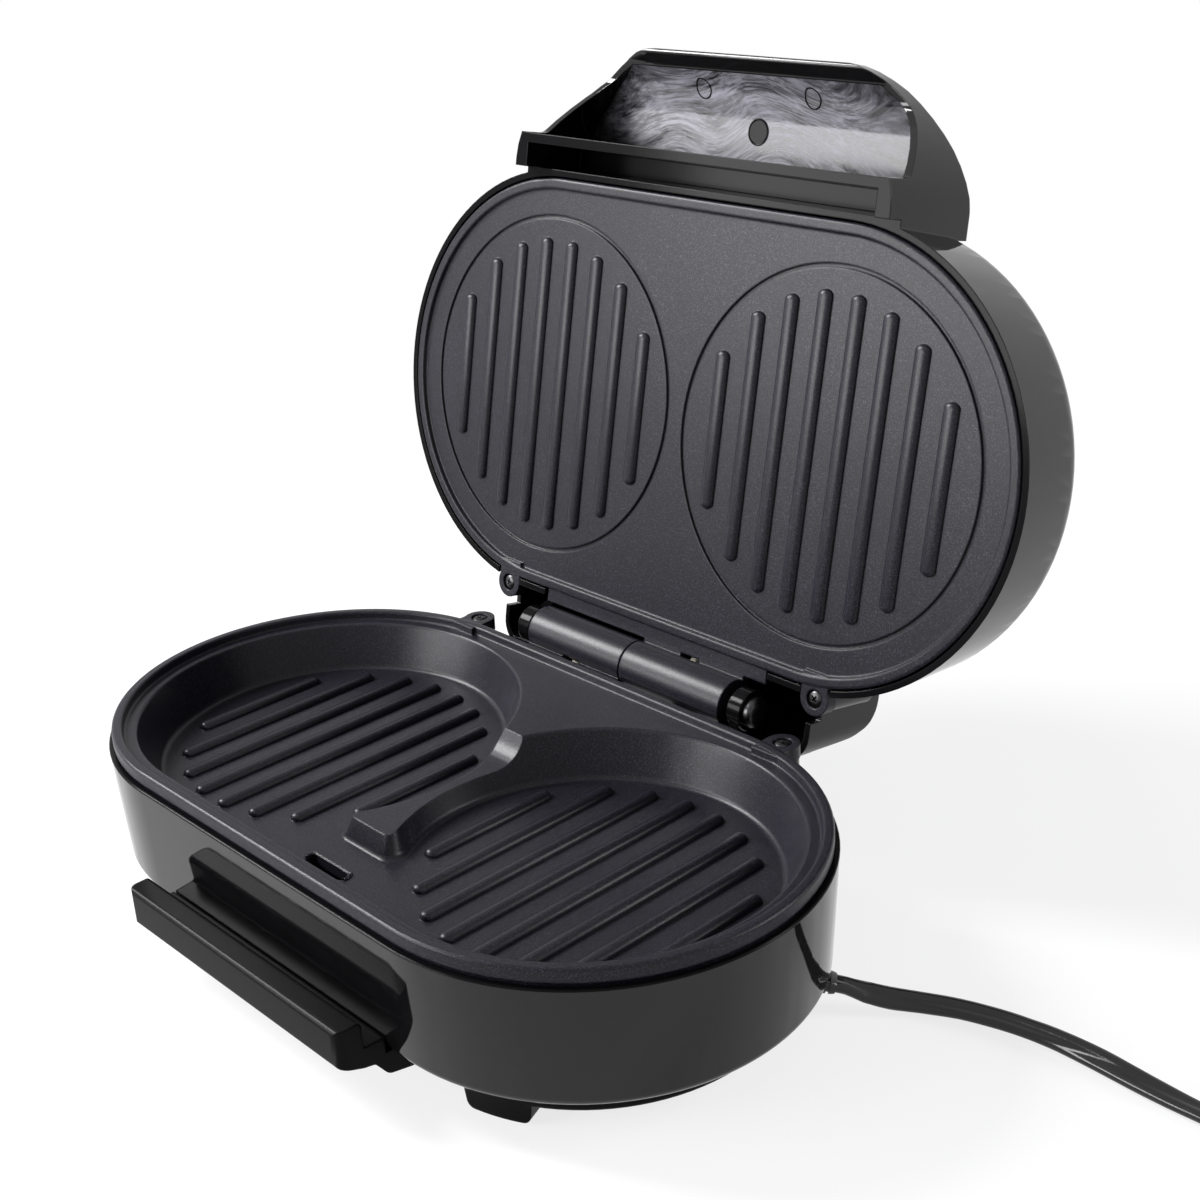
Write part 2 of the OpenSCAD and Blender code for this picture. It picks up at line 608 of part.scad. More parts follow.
module base_wires() {
    z = leg_h + wall + 4;
    tab_z = pan_z - 14.7;
    block = [half + 24, 14];
    side = [-sin(outlet_a), cos(outlet_a), 0];
    inner = outlet_p - (relief_in + 0.5) * outlet_u;
    color("#c8c0b0") on_base() {
        wire([[block[0] - 9.3, block[1] + 8, z], [block[0] - 18, block[1] + 9, z + 4], [0, 24, 25],
              [-half + 10, 6, tab_z], [-half + 4.6, 0, tab_z]]);
        wire([[block[0] - 9.3, block[1], z], [block[0] - 18, block[1], z + 4], [half - 4, 14, 24],
              [half - 3, 20, 30], [half, 17, pan_z - 2.5], [half, 13.2, pan_z - 2.4]]);
        wire([[-half - 4.6, 0, tab_z], [-half - 6, -8, tab_z], [-half + 10, -26, 25], [-14, -34, 27],
              [-6.4, -heater_r + 2.3, lower_heater_z]]);
        wire([[half, -13.2, pan_z - 2.4], [half, -17, pan_z - 2.5], [half - 4, -22, 29], [40, -28, 25],
              [14, -34, 27],
              [6.4, -heater_r + 2.3, lower_heater_z]]);
        wire([inner + 1.6 * side, inner + 2 * side - 5 * outlet_u, [half + 36, 27, z],
              [block[0] + 9.3, block[1] + 8, z]]);
        wire([inner - 1.6 * side, inner - 1.4 * side - 4 * outlet_u, [half + 36.5, 20, z],
              [block[0] + 9.3, block[1], z]]);
    }
}
// Glass-fibre sleeve that takes the lid's wires through the hollow hinge
module wire_sleeve() {
    color("#d5d0c0") on_base()
        tube(smooth_path([[-26, 55.5, hinge_z - 13], [-26, 62, hinge_z - 11], [-26, 70, hinge_z - 9.4],
                          [-26, 75.5, hinge_z - 6.6],
                          [-23, 80.5, hinge_z - 1.4], [-17, hinge_y, hinge_z], [-6, hinge_y, hinge_z],
                          [8, hinge_y, hinge_z]], 3), 2.2, 2.2, 8);
}

// Cord

module strain_relief() {
    color("#161617") on_base() outlet() {
        // neck in the slot, a flange each side of the wall and a tail inside
        translate([-3.4, -4, -2.7]) cube([4.8, 8, 5.6]);
        translate([-relief_in, -3.7, -2.1]) cube([relief_in - 4.5, 7.4, 4.2]);
        translate([-4.6, -5.2, -2.4]) cube([1.4, 10.4, 6]);
        translate([1.3, -5.2, -3.4]) cube([1.6, 10.4, 7]);
        translate([2.8, 0, 0]) rotate([90, 0, 90]) hull() {
            linear_extrude(0.1) polygon(soft([[-4.4, -2.9, 2], [4.4, -2.9, 2], [4.4, 2.9, 2],
                                              [-4.4, 2.9, 2]], 4));
            translate([0, 0, relief_len - 2.8]) linear_extrude(0.1)
                polygon(soft([[-3.6, -2.1, 2], [3.6, -2.1, 2], [3.6, 2.1, 2], [-3.6, 2.1, 2]], 4));
        }
    }
}
outlet_u = [cos(outlet_a) * cos(outlet_dip), sin(outlet_a) * cos(outlet_dip), -sin(outlet_dip)];
outlet_p = [half + cover_r * cos(outlet_a), cover_r * sin(outlet_a), outlet_z];
cord_start = outlet_p + outlet_u * (relief_len + 0.15);
cord_end = [coil_c[0] - cord_w - 0.6, coil_c[1] - coil_r, coil_z];
cord_path = concat([cord_start, cord_start + outlet_u * 2.5], smooth_path(cord_route, 2),
                   [cord_end - [2, 0, 0], cord_end]);
cord_turn = concat([0, 0], [for (i = [0:len(cord_route) - 2], k = [0, 0.5])
    cord_rolls[i] * (1 - k) + cord_rolls[i + 1] * k], [0, 0, 0]);
module power_cord() {
    color("#18181a") on_base() tube(cord_path, cord_w / 2 * 1.04, cord_t / 2 * 1.04, 10, cord_turn);
}
// Coil: spirals in on the table, climbs a layer in half a turn and spirals out again
in_steps = coil_turns * coil_steps;
climb_steps = coil_steps / 2;
out_steps = coil_out_turns * coil_steps;
function climb(i) = min(max((i - in_steps) / climb_steps, 0), 1);
function coil_radius(i) =
    i <= in_steps ? coil_r - coil_pitch * i / coil_steps
    : i <= in_steps + climb_steps ? coil_in_r - climb_dip * sin(180 * climb(i))
    : coil_in_r + coil_pitch * (i - in_steps - climb_steps) / coil_steps;
function coil_height(i) =
    let (u = climb(i)) coil_z + layer_step * u * u * u * (10 - 15 * u + 6 * u * u);
coil_loops = [for (i = [0:in_steps + climb_steps + out_steps])
    let (a = -90 + 360 * i / coil_steps, r = coil_radius(i))
    [coil_c[0] + r * cos(a), coil_c[1] + r * sin(a), coil_height(i)]];
coil_exit = coil_loops[len(coil_loops) - 1];
coil_line = concat([cord_end + [0.05, 0, 0]], coil_loops, [coil_exit + [tail / 3, 0, 0],
    coil_exit + [tail, 0, 0]]);
// Least distance between turns that aren't next to each other, less the cord's own size
function turn_gap(a, b) =
    let (d = a - b, flat_gap = norm([d[0], d[1]]) - cord_w, up_gap = abs(d[2]) - cord_t)
        max(flat_gap, up_gap);
coil_gap = min([for (i = [0:len(coil_line) - 1], j = [0:len(coil_line) - 1])
    if (j > i + 8) turn_gap(coil_line[i], coil_line[j])]);
function line_length(p, i = 1) = i < len(p) ? norm(p[i] - p[i - 1]) + line_length(p, i + 1) : 0;
coil_length = line_length(coil_line);
free_length = line_length(cord_path);
echo(coil_gap = coil_gap, coil_length = coil_length, free_length = free_length);
module cord_coil() {
    color("#18181a") on_base() tube(coil_line, cord_w / 2 * 1.02, cord_t / 2, 6);
}
module cord_tie() {
    t = 0.8;
    band = 9;
    r0 = coil_in_r - climb_dip - cord_w / 2 - 0.7;
    r1 = coil_r - coil_pitch * 0.75 + cord_w / 2 + 0.6;
    top = coil_top_z + cord_t / 2 + 0.5;
    color("#202022") on_base() translate([coil_c[0], coil_c[1], 0]) rotate([0, 0, 180])
        translate([0, band / 2, 0])
        rotate([90, 0, 0]) linear_extrude(band) difference() {
            polygon(soft([[r0 - t, 0, 2], [r1 + t, 0, 2], [r1 + t, top + t, 2], [r0 - t, top + t, 2]]));
            polygon(soft([[r0, t, 1.2], [r1, t, 1.2], [r1, top, 1.2], [r0, top, 1.2]]));
        }
}
plug_x = coil_exit[0] + tail + 0.05;
plug_h = 2 * coil_top_z;
blade_pitch = 12.7;
module at_plug() { translate([plug_x, coil_exit[1], coil_top_z]) children(); }
module plug_body() {
    color("#18181a") on_base() at_plug() difference() {
        intersection() {
            translate([0, 0, -plug_h / 2]) linear_extrude(plug_h)
                polygon(soft([[0, -4.4, 1], [14, -5.4, 6], [19, -12, 5], [37, -12.6, 3], [37, 12.6, 3],
                              [19, 12, 5],
                              [14, 5.4, 6], [0, 4.4, 1]]));
            translate([0, 20, 0]) rotate([90, 0, 0]) linear_extrude(40)
                polygon(soft([[0, -2.8, 1], [12, -3.4, 5], [20, -plug_h / 2, 5], [37, -plug_h / 2, 2.5],
                              [37, plug_h / 2, 2.5],
                              [20, plug_h / 2, 5], [12, 3.4, 5], [0, 2.8, 1]]));
        }
        for (s = [-1, 1]) translate([27, s * blade_pitch / 2 - 0.8, -3.2]) cube([20, 1.6, 6.4]);
    }
}
module plug_blades() {
    color("#c9c3a4") on_base() at_plug() for (s = [-1, 1]) translate([27.2, s * blade_pitch / 2, 0])
        difference() {
        rotate([90, 0, 0]) linear_extrude(1.5, center = true)
            polygon(soft([[0, -3.15, 0], [26.5, -3.15, 1.5], [26.5, 3.15, 1.5], [0, 3.15, 0]]));
        translate([22.5, 0, 0]) rotate([90, 0, 0]) cylinder(r = 1.4, h = 4, center = true);
    }
}

// Lid, drawn closed

module lid_shell(inset, top_inset, low) {
    r = lid_r - inset;
    round_r = lid_round - inset;
    cy = lid_r - housing_taper - lid_round;
    track() polygon(concat([[0, low], [r, low]], low < lid_edge_z ? [[r, lid_edge_z]] : [],
        [for (a = [0:90 / 8:90]) [cy + round_r * cos(a), lid_round_z + (lid_round - top_inset) * sin(a)]],
        [[0, lid_top_z - top_inset]]));
}
module hinge_block(inset, y0) {
    y1 = hinge_y + 10.9 - inset;
    intersection() {
        along_x(-block_x + inset, block_x - inset)
            polygon(soft([[y0, lid_edge_z - inset, 0], [y1, lid_edge_z - inset, 0], [y1 - 2.4, lid_edge_z + 6, 6],
                          [y1 - 4.1, lid_edge_z + 23, 9], [y1 - 9, lid_top_z - inset, 10],
                          [y0, lid_top_z - inset, 0]], 6));
        translate([0, 0, lid_edge_z - 5]) linear_extrude(lid_h + 10)
            polygon(soft([[-block_x + inset, y0 - 1, 0], [block_x - inset, y0 - 1, 0],
                          [block_x - inset, y1 + 0.5, block_round - inset],
                          [-block_x + inset, y1 + 0.5, block_round - inset]], 8));
    }
}
// Half outline of the lid handle from above
function hood_side(x, y, k) =
    [for (i = [0:12]) bezier([x, -74], [x, -74 - k], [39 + k, -y], [39, -y], i / 12)];
module hood_plan(inset) {
    side = hood_side(hood_x - inset, hood_y - inset, 16);
    polygon(concat([[hood_x - inset, -60]], side, [for (i = [12:-1:0]) [-side[i][0], side[i][1]]],
                   [[-hood_x + inset, -60]]));
}
module lid_hood() {
    z0 = lid_edge_z;
    intersection() {
        translate([0, 0, z0 - 12]) linear_extrude(60) hood_plan(0);
        along_x(-hood_x - cut, hood_x + cut)
            polygon(soft([[-66, lid_top_z - 0.7, 0], [hood_back_y, hood_back_z, 40],
                          [-92, lid_top_z - 4.4, 40],
                          [-106.5, lid_top_z - 9.2, 12], [-hood_y, lid_top_z - 14, 3],
                          [-hood_y, z0 + 14.3, 1],
                          [-107.5, z0 + 17.8, 6], [-101.5, z0 + 19, 4], [-96.5, z0 + 15.9, 4],
                          [-82.5, z0 + 3.7, 3], [-82.5, z0 - 5.6, 0], [-66, z0 - 5.6, 0]], 5));
    }
}
module hood_hollow() {
    z0 = lid_edge_z;
    intersection() {
        translate([0, 0, z0 - 12]) linear_extrude(60) hood_plan(hood_wall);
        along_x(-hood_x, hood_x)
            polygon(soft([[-82.6, z0 - 8, 0], [-79.7, z0 + 25.3, 0.8], [-94, z0 + 25.3, 6],
                          [-103, lid_top_z - 11.2, 8],
                          [-hood_y + nose_wall, lid_top_z - 16.5, 3], [-hood_y + nose_wall, z0 - 8, 0]]));
    }
}
module hood_trough() {
    z0 = lid_edge_z;
    along_x(-hood_x + 5.3, hood_x - 5.3)
        polygon([[-79.4, z0 - 8], [-77.9, z0 + 18.8], [-lid_r, z0 + 18.8], [-lid_r, z0 - 8]]);
}
lens_at = [[-8, -26], [8, -26]];
lens_r = 3.2;
strap_x0 = barrel_left - ring_gap - ring_w;
module lid_housing() {
    color("#131314") on_lid() {
        difference() {
            union() {
                lid_shell(0, 0, lid_edge_z);
                hinge_block(0, 60);
                lid_hood();
                both_sides() translate([ear_x, ear_y, lid_skirt_z - 1]) cylinder(r = ear_r - 0.3, h = 18);
            }
            lid_shell(wall, wall, lid_edge_z - 10);
            difference() {
                hinge_block(wall, lid_r);
                both_sides() translate([ear_x, ear_y, lid_skirt_z - 1]) cylinder(r = ear_r - 0.3, h = 18);
            }
            hood_hollow();
            hood_trough();
            // room over the trough, open to the inside of the shell
            along_x(-block_x, block_x)
                polygon([[-77.6, lid_edge_z + 21], [-77.6, lid_top_z - 3.6], [-58, lid_top_z - 3],
                         [-58, lid_edge_z + 21]]);
            // the hood's frame ends in front of the shell
            translate([-hood_x - cut, -lid_r, lid_edge_z - 20]) cube([2 * hood_x + 2 * cut, 80, 20]);
            // notch for the hinge flange and the wires
            translate([-flange_x - 1, lid_r - 6, lid_edge_z - cut])
                cube([2 * flange_x + 2, 8, upper_flange_z + flange_t + clear - lid_edge_z + cut]);
            translate([13, lid_r - 6, lid_edge_z]) cube([10, 8, 13]);
            // ears of the plate
            both_sides() translate([ear_x - ear_r - clear, 58, lid_edge_z - cut])
                cube([2 * (ear_r + clear), 22, ear_t + cut + 0.3]);
            both_sides() translate([ear_x, ear_y, lid_edge_z]) cylinder(r = pilot_r, h = 12);
            for (p = lens_at) translate([p[0], p[1], lid_top_z - 10]) cylinder(r = lens_r + fit, h = 20);
        }
        // strap that carries the left end of the hinge
        difference() {
            union() {
                at_hinge() rod_x(strap_x0, strap_x0 + ring_w, ring_r);
                along_x(strap_x0 + 0.5, strap_x0 + ring_w - 0.5)
                    polygon([[hinge_y - 5.5, hinge_z + 2], [hinge_y + 5.5, hinge_z + 2],
                             [hinge_y + 7.5, lid_edge_z + 8],
                             [hinge_y + 3, lid_top_z - 5], [lid_r - 1, lid_top_z - 3],
                              [lid_r - 1, lid_edge_z + 10]]);
            }
            at_hinge() rod_x(strap_x0 - cut, strap_x0 + ring_w + cut, pin_r + fit);
        }
        // seats for the plate
        for (s = [-1, 1], a = [-70, -25, 25, 60])
            translate([s * half, 0, 0]) rotate([0, 0, s > 0 ? a : 180 - a])
                translate([lid_r - wall - 4.4, -1, lid_skirt_z]) cube([3.9, 2, lid_round_z - 1 - lid_skirt_z]);
        // lamp holders under the lenses
        for (p = lens_at) translate([p[0], p[1], lid_top_z - 14]) difference() {
            cylinder(r = lens_r + 1.2, h = 12);
            translate([0, 0, -cut]) cylinder(r = lens_r + fit, h = 20);
        }
    }
}
module upper_plate() {
    color("#3a3b3f") on_lid() {
        difference() {
            union() {
                track() polygon(soft([[0, lid_face_z, 0], [plate_r - rim_w, lid_face_z, 0.5],
                                      [plate_r - rim_w + 0.3, lid_rim_z, 0.6], [plate_r, lid_rim_z, 1],
                                      [plate_r, lid_skirt_z, 0], [plate_r - 3, lid_skirt_z, 0],
                                      [plate_r - 3.4, lid_back_z, 0], [0, lid_back_z, 0]]));
                both_sides() {
                    translate([ear_x, ear_y, upper_ear_z]) cylinder(r = ear_r, h = ear_t);
                    translate([ear_x - ear_r, plate_r - 5, upper_ear_z])
                        cube([2 * ear_r - 0.6, ear_y - plate_r + 5, ear_t]);
                }
                along_x(-flange_x, flange_x) polygon([[plate_r - 2, upper_flange_z],
                                                      [plate_r - 2, upper_flange_z + flange_t],
                    [hinge_y - barrel_r - flange_gap, upper_flange_z + flange_t],
                    [hinge_y - barrel_r - flange_gap, upper_flange_z]]);
                along_x(barrel_mid + clear, barrel_right) polygon([[plate_r - 2, upper_flange_z],
                    [plate_r - 2, upper_flange_z + flange_t],
                    [hinge_y, upper_flange_z + flange_t], [hinge_y, upper_flange_z]]);
                at_hinge() rod_x(barrel_mid + clear, barrel_right, barrel_r);
                at_clamps() for (s = [-1, 1]) translate([s * clamp_reach, 0, lid_back_z - 0.5])
                    cylinder(r = 3.4, h = 2 * heater_tube_r + heater_seat + 0.5);
            }
            for (s = [-1, 1]) translate([s * half, 0, lid_face_z - cut]) difference() {
                cylinder(r = groove_r + groove_w / 2, h = cut + 0.8);
                translate([0, 0, -cut]) cylinder(r = groove_r - groove_w / 2, h = cut + 3);
            }
            at_hinge() barrel_bores(barrel_mid - cut, barrel_right - pin_depth,
                                    barrel_right - pin_depth - cut, barrel_right + cut);
            at_hinge() rotate([-42, 0, 0]) translate([14, -barrel_r - 3, -3.6]) cube([8, barrel_r + 3, 7.2]);
            both_sides() translate([ear_x, ear_y, lid_rim_z - 5]) {
                cylinder(r = screw_r + 0.2, h = 20);
                cylinder(r = screw_head_r + 0.2, h = 5.4 + screw_sink);
            }
            at_clamps() for (s = [-1, 1]) translate([s * clamp_reach, 0, lid_back_z - 0.6])
                cylinder(r = pilot_r, h = 12);
        }
        ribs(rib_end_r + 0.5, lid_face_z + lid_rib_sink);
    }
}
module lid_plate_screws() {
    color("#4a4a4c") on_lid() both_sides() translate([ear_x, ear_y, upper_ear_z + screw_sink])
        mirror([0, 0, 1]) screw(9);
}
module left_hinge_pin() {
    color("#2a2a2c") on_lid() at_hinge() {
        rod_x(strap_x0 - 0.5, barrel_left + pin_depth - 1, pin_r);
        translate([strap_x0 - 0.1, 0, 0]) rotate([0, -90, 0])
            cylinder(r1 = pin_head_r, r2 = pin_head_r - 0.7, h = pin_head_t);
    }
}
module upper_heater() { color("#a9a9a5") on_lid() element(upper_heater_z); }
module upper_heater_clamps() { color("#b5b5b2") on_lid() clamp_bar(upper_clamp_z); }
module upper_clamp_screws() {
    color("#8f8f8d") on_lid() at_clamps() for (s = [-1, 1])
        translate([s * clamp_reach, 0, upper_clamp_z + clamp_t]) screw(7);
}
module indicator_lenses() {
    lens_col = ["#8c1d14", "#1d6b2a"];
    on_lid() for (i = [0, 1]) color(lens_col[i]) translate([lens_at[i][0], lens_at[i][1], lid_top_z - 3])
        cylinder(r1 = lens_r, r2 = lens_r - 0.15, h = 3.8);
}
module indicator_lamps() {
    color("#c9b9a0") on_lid() for (p = lens_at) translate([p[0], p[1], lid_top_z - 14]) {
        cylinder(r = 2.4, h = 8);
        translate([0, 0, 7.9]) sphere(r = 2.4, $fn = 32);
    }
}
module lid_wires() {
    z = lid_back_z + 8;
    color("#c8c0b0") on_lid() {
        tube(smooth_path([[8.2, hinge_y, hinge_z], [12, hinge_y, hinge_z],
                          [16, hinge_y - 1.6, hinge_z + 1.5], [18, hinge_y - 6, hinge_z + 6.3],
                          [18, lid_r - 1, lid_skirt_z + 2], [17, 62, lid_skirt_z + 4], [12, 48,
                              z]], 3), 2.2, 2.2, 8);
        wire([[11, 46.6, z], [8, 30, z], [6, 0, z], [6, -28, z - 2], [6.4, -heater_r + 2.3, upper_heater_z]]);
        wire([[13.5, 46.6, z], [4, 30, z + 2.6], [-5, 0, z + 2.6], [-7, -28, z - 1],
              [-6.4, -heater_r + 2.3, upper_heater_z]]);
    }
}

base_housing();
base_cover();
foot_pads();
cover_screws();
lower_plate();
base_plate_screws();
lower_heater();
lower_heater_clamps();
lower_clamp_screws();
thermostat();
thermal_fuse();
terminal_block();
base_wires();
wire_sleeve();
right_hinge_pin();
strain_relief();
power_cord();
cord_coil();
cord_tie();
plug_body();
plug_blades();
lid_housing();
upper_plate();
lid_plate_screws();
left_hinge_pin();
upper_heater();
upper_heater_clamps();
upper_clamp_screws();
indicator_lenses();
indicator_lamps();
lid_wires();
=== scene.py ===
# %% [markdown]
# # A two-well breakfast sandwich maker, shown open
# The real object is a black moulded shell round two die-cast, non-stick plates, with a lid that
# swings on a barrel hinge behind them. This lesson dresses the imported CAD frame: it builds the
# smooth pieces, gives every piece a finish from shader nodes, and lights the object on a pale floor.

# %% Load the frame
import json
import math
import bmesh
import bpy
from mathutils import Matrix, Vector
from mathutils.bvhtree import BVHTree


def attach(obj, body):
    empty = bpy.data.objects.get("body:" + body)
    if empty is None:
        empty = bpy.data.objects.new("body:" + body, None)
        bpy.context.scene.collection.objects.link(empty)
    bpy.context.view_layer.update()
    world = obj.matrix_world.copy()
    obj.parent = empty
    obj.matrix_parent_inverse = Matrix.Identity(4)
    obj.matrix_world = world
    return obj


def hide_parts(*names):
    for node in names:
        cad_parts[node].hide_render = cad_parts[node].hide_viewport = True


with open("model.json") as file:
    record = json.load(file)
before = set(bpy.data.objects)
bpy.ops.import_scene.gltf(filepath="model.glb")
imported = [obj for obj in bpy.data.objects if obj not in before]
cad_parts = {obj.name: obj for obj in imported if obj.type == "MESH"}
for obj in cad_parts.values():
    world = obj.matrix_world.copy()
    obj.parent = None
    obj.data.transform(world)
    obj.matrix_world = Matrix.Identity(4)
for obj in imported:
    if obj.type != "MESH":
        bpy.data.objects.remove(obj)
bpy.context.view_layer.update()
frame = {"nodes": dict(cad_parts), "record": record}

# %% [markdown]
# The shapes are drawn in millimetres on a bench frame whose middle is the middle of the plates, as a
# maker's drawing is. Two matrices take them to metres: one for the base, and one for the lid, which
# is drawn closed over the base and then turned open about the hinge.

# %% Bench frame to the shared frame
MM = 0.001
HALF = 60.0            # half the distance between the wells
MIDDLE_Y = 31.7267     # from the middle of the plates to the middle of the open object
HINGE = Vector((0, 82.3, 56.7))
OPEN_ANGLE = 101.3
base_matrix = Matrix.Scale(MM, 4) @ Matrix.Translation((0, -MIDDLE_Y, 0))
lid_matrix = (base_matrix @ Matrix.Translation(HINGE)
              @ Matrix.Rotation(math.radians(-OPEN_ANGLE), 4, "X") @ Matrix.Translation(-HINGE))
print("lid rim at", [round(c, 4) for c in lid_matrix @ Vector((0, -68.8, 58.4))])

# %% [markdown]
# The camera stands where the photograph was taken from: a little to the right of the front, and
# above the object. Its place came from fitting the two equal wells, the rounded outlines of the
# plates and the hinge line, which is square to the base's sides.

# %% Camera
AZIMUTH, ELEVATION, ROLL = math.radians(47.29), math.radians(23.68), math.radians(-2.92)
DISTANCE = 463.52
TARGET = Vector((70.7, -MIDDLE_Y, 128.64))
FOCAL_PX, PHOTO_PX, SENSOR = 1798.7, 1200, 36.0
backward = Vector((math.sin(AZIMUTH) * math.cos(ELEVATION),
                   -math.cos(AZIMUTH) * math.cos(ELEVATION), math.sin(ELEVATION)))
level = Vector((math.cos(AZIMUTH), math.sin(AZIMUTH), 0))
upward = backward.cross(level)
right = level * math.cos(ROLL) + upward * math.sin(ROLL)
upward = backward.cross(right)
lens = bpy.data.cameras.new("camera")
lens.sensor_width = SENSOR
lens.lens = FOCAL_PX / PHOTO_PX * SENSOR
lens.clip_start = 0.01
camera = bpy.data.objects.new("camera", lens)
bpy.context.scene.collection.objects.link(camera)
place = Matrix((right, upward, backward)).transposed().to_4x4()
place.translation = (TARGET + backward * DISTANCE) * MM
camera.matrix_world = place
bpy.context.scene.camera = camera
print("camera at", [round(c, 3) for c in place.translation], "lens", round(lens.lens, 2), "mm")

# %% [markdown]
# Every piece goes the same way from a bmesh to an object: to metres, its faces turned outwards, its
# edges sharp or smooth by their angle, and then onto the body that it moves with. One helper does
# this, so that each later cell holds the shape alone.

# %% Helpers that finish a piece
finishes = {}
WELD = 2e-6                                    # metres: points closer than this are one


def finish_piece(bm, name, body, finish, stands_for=(), matrix=base_matrix,
                 turn_out=True, sharp=34):
    bmesh.ops.transform(bm, matrix=matrix, verts=bm.verts)
    if turn_out:
        bmesh.ops.remove_doubles(bm, verts=bm.verts, dist=WELD)
        bmesh.ops.recalc_face_normals(bm, faces=bm.faces)
    for face in bm.faces:
        face.smooth = True
    for edge in bm.edges:
        edge.smooth = len(edge.link_faces) == 2 and edge.calc_face_angle(0) < math.radians(sharp)
    mesh = bpy.data.meshes.new(name)
    bm.to_mesh(mesh)
    bm.free()
    piece = bpy.data.objects.new(name, mesh)
    bpy.context.scene.collection.objects.link(piece)
    mesh.materials.append(finishes[finish])
    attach(piece, body)
    if stands_for:
        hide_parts(*stands_for)
    print(name, len(mesh.polygons), "faces")
    return piece


def scratch_object(bm, name):
    mesh = bpy.data.meshes.new(name)
    bm.to_mesh(mesh)
    bm.free()
    made = bpy.data.objects.new(name, mesh)
    bpy.context.scene.collection.objects.link(made)
    return made


def carved(bm, *steps):
    """The mesh that exact Booleans make of the bmesh: each step is a tool and an operation."""
    blank = scratch_object(bm, "blank")
    tools = [scratch_object(tool, "tool") for tool, _ in steps]
    for tool, (_, operation) in zip(tools, steps):
        step = blank.modifiers.new("step", "BOOLEAN")
        step.object, step.operation, step.solver = tool, operation, "EXACT"
    graph = bpy.context.evaluated_depsgraph_get()
    kept = bpy.data.meshes.new_from_object(blank.evaluated_get(graph))
    for spent in (blank, *tools):
        bpy.data.objects.remove(spent)
    return kept


def smooth_cast(node, name, body, finish, zones=(), steps=(), flat=0.6, sharp=34):
    """A merged copy of a CAD node, with smooth round walls and truly flat faces.
    Each zone is a test of a face's centre and normal, on the bench frame, and the finish of the
    faces that pass it. Steps are Booleans that are made first. Faces that meet at less than the flat
    angle, in degrees, become one, and edges over the sharp angle stay sharp."""
    bm = bmesh.new()
    bm.from_mesh(frame["nodes"][node].data)
    bmesh.ops.remove_doubles(bm, verts=bm.verts, dist=WELD)
    if steps:
        kept = carved(bm, *steps)
        bm = bmesh.new()
        bm.from_mesh(kept)
        bmesh.ops.remove_doubles(bm, verts=bm.verts, dist=WELD)
    bmesh.ops.dissolve_limit(bm, angle_limit=math.radians(flat), verts=bm.verts, edges=bm.edges)
    to_bench = (lid_matrix if body == "lid" else base_matrix).inverted()
    turn = to_bench.to_3x3().normalized()
    for index, (test, _) in enumerate(zones):
        for face in bm.faces:
            if test(to_bench @ face.calc_center_median(), turn @ face.normal):
                face.material_index = index + 1
    piece = finish_piece(bm, name, body, finish, [node], Matrix(), turn_out=False, sharp=sharp)
    for _, zone_finish in zones:
        piece.data.materials.append(finishes[zone_finish])
    even = piece.modifiers.new("even_normals", "WEIGHTED_NORMAL")
    even.keep_sharp = True
    return piece


# %% [markdown]
# ## Finishes
# Plastic, cast metal and rubber all show a grain far finer than the shapes. Three node groups make
# these effects: a fine speckle, rubbing streaks and a moulded grain. Each finish places them with
# its own values, and keeps its own Principled shader.

# %% Helpers for node trees
def socket(group, name, way, kind="NodeSocketFloat", value=None):
    made = group.interface.new_socket(name=name, in_out=way, socket_type=kind)
    if value is not None:
        made.default_value = value


def node(tree, kind, links=(), **settings):
    made = tree.nodes.new(kind)
    for key, value in settings.items():
        if key[0].isupper():
            made.inputs[key.replace("_", " ")].default_value = value
        else:
            setattr(made, key, value)
    for key, output in links:
        tree.links.new(output, made.inputs[key])
    return made


def mapped(tree, source, steps):
    ramp = node(tree, "ShaderNodeMapRange", [("Value", source)])
    for key, value in zip(("From Min", "From Max", "To Min", "To Max"), steps):
        ramp.inputs[key].default_value = value
    return ramp.outputs["Result"]


# %% Speckle: the sparkle of a non-stick coating
speckle = bpy.data.node_groups.new("coating_speckle", "ShaderNodeTree")
socket(speckle, "Scale", "INPUT", value=3000)
socket(speckle, "Mask", "OUTPUT")
socket(speckle, "Height", "OUTPUT")
inside = node(speckle, "NodeGroupInput")
outside = node(speckle, "NodeGroupOutput")
where = node(speckle, "ShaderNodeTexCoord").outputs["Object"]
grains = node(speckle, "ShaderNodeTexNoise",
              [("Vector", where), ("Scale", inside.outputs["Scale"])], Detail=3.0, Roughness=0.6)
clouds = node(speckle, "ShaderNodeTexNoise", [("Vector", where)], Scale=38.0, Detail=2.0)
flecks = mapped(speckle, grains.outputs["Fac"], (0.52, 0.72, 0, 1))
drift = mapped(speckle, clouds.outputs["Fac"], (0.3, 0.7, 0.7, 1.15))
both = node(speckle, "ShaderNodeMath", [(0, flecks), (1, drift)], operation="MULTIPLY")
speckle.links.new(both.outputs[0], outside.inputs["Mask"])
speckle.links.new(grains.outputs["Fac"], outside.inputs["Height"])

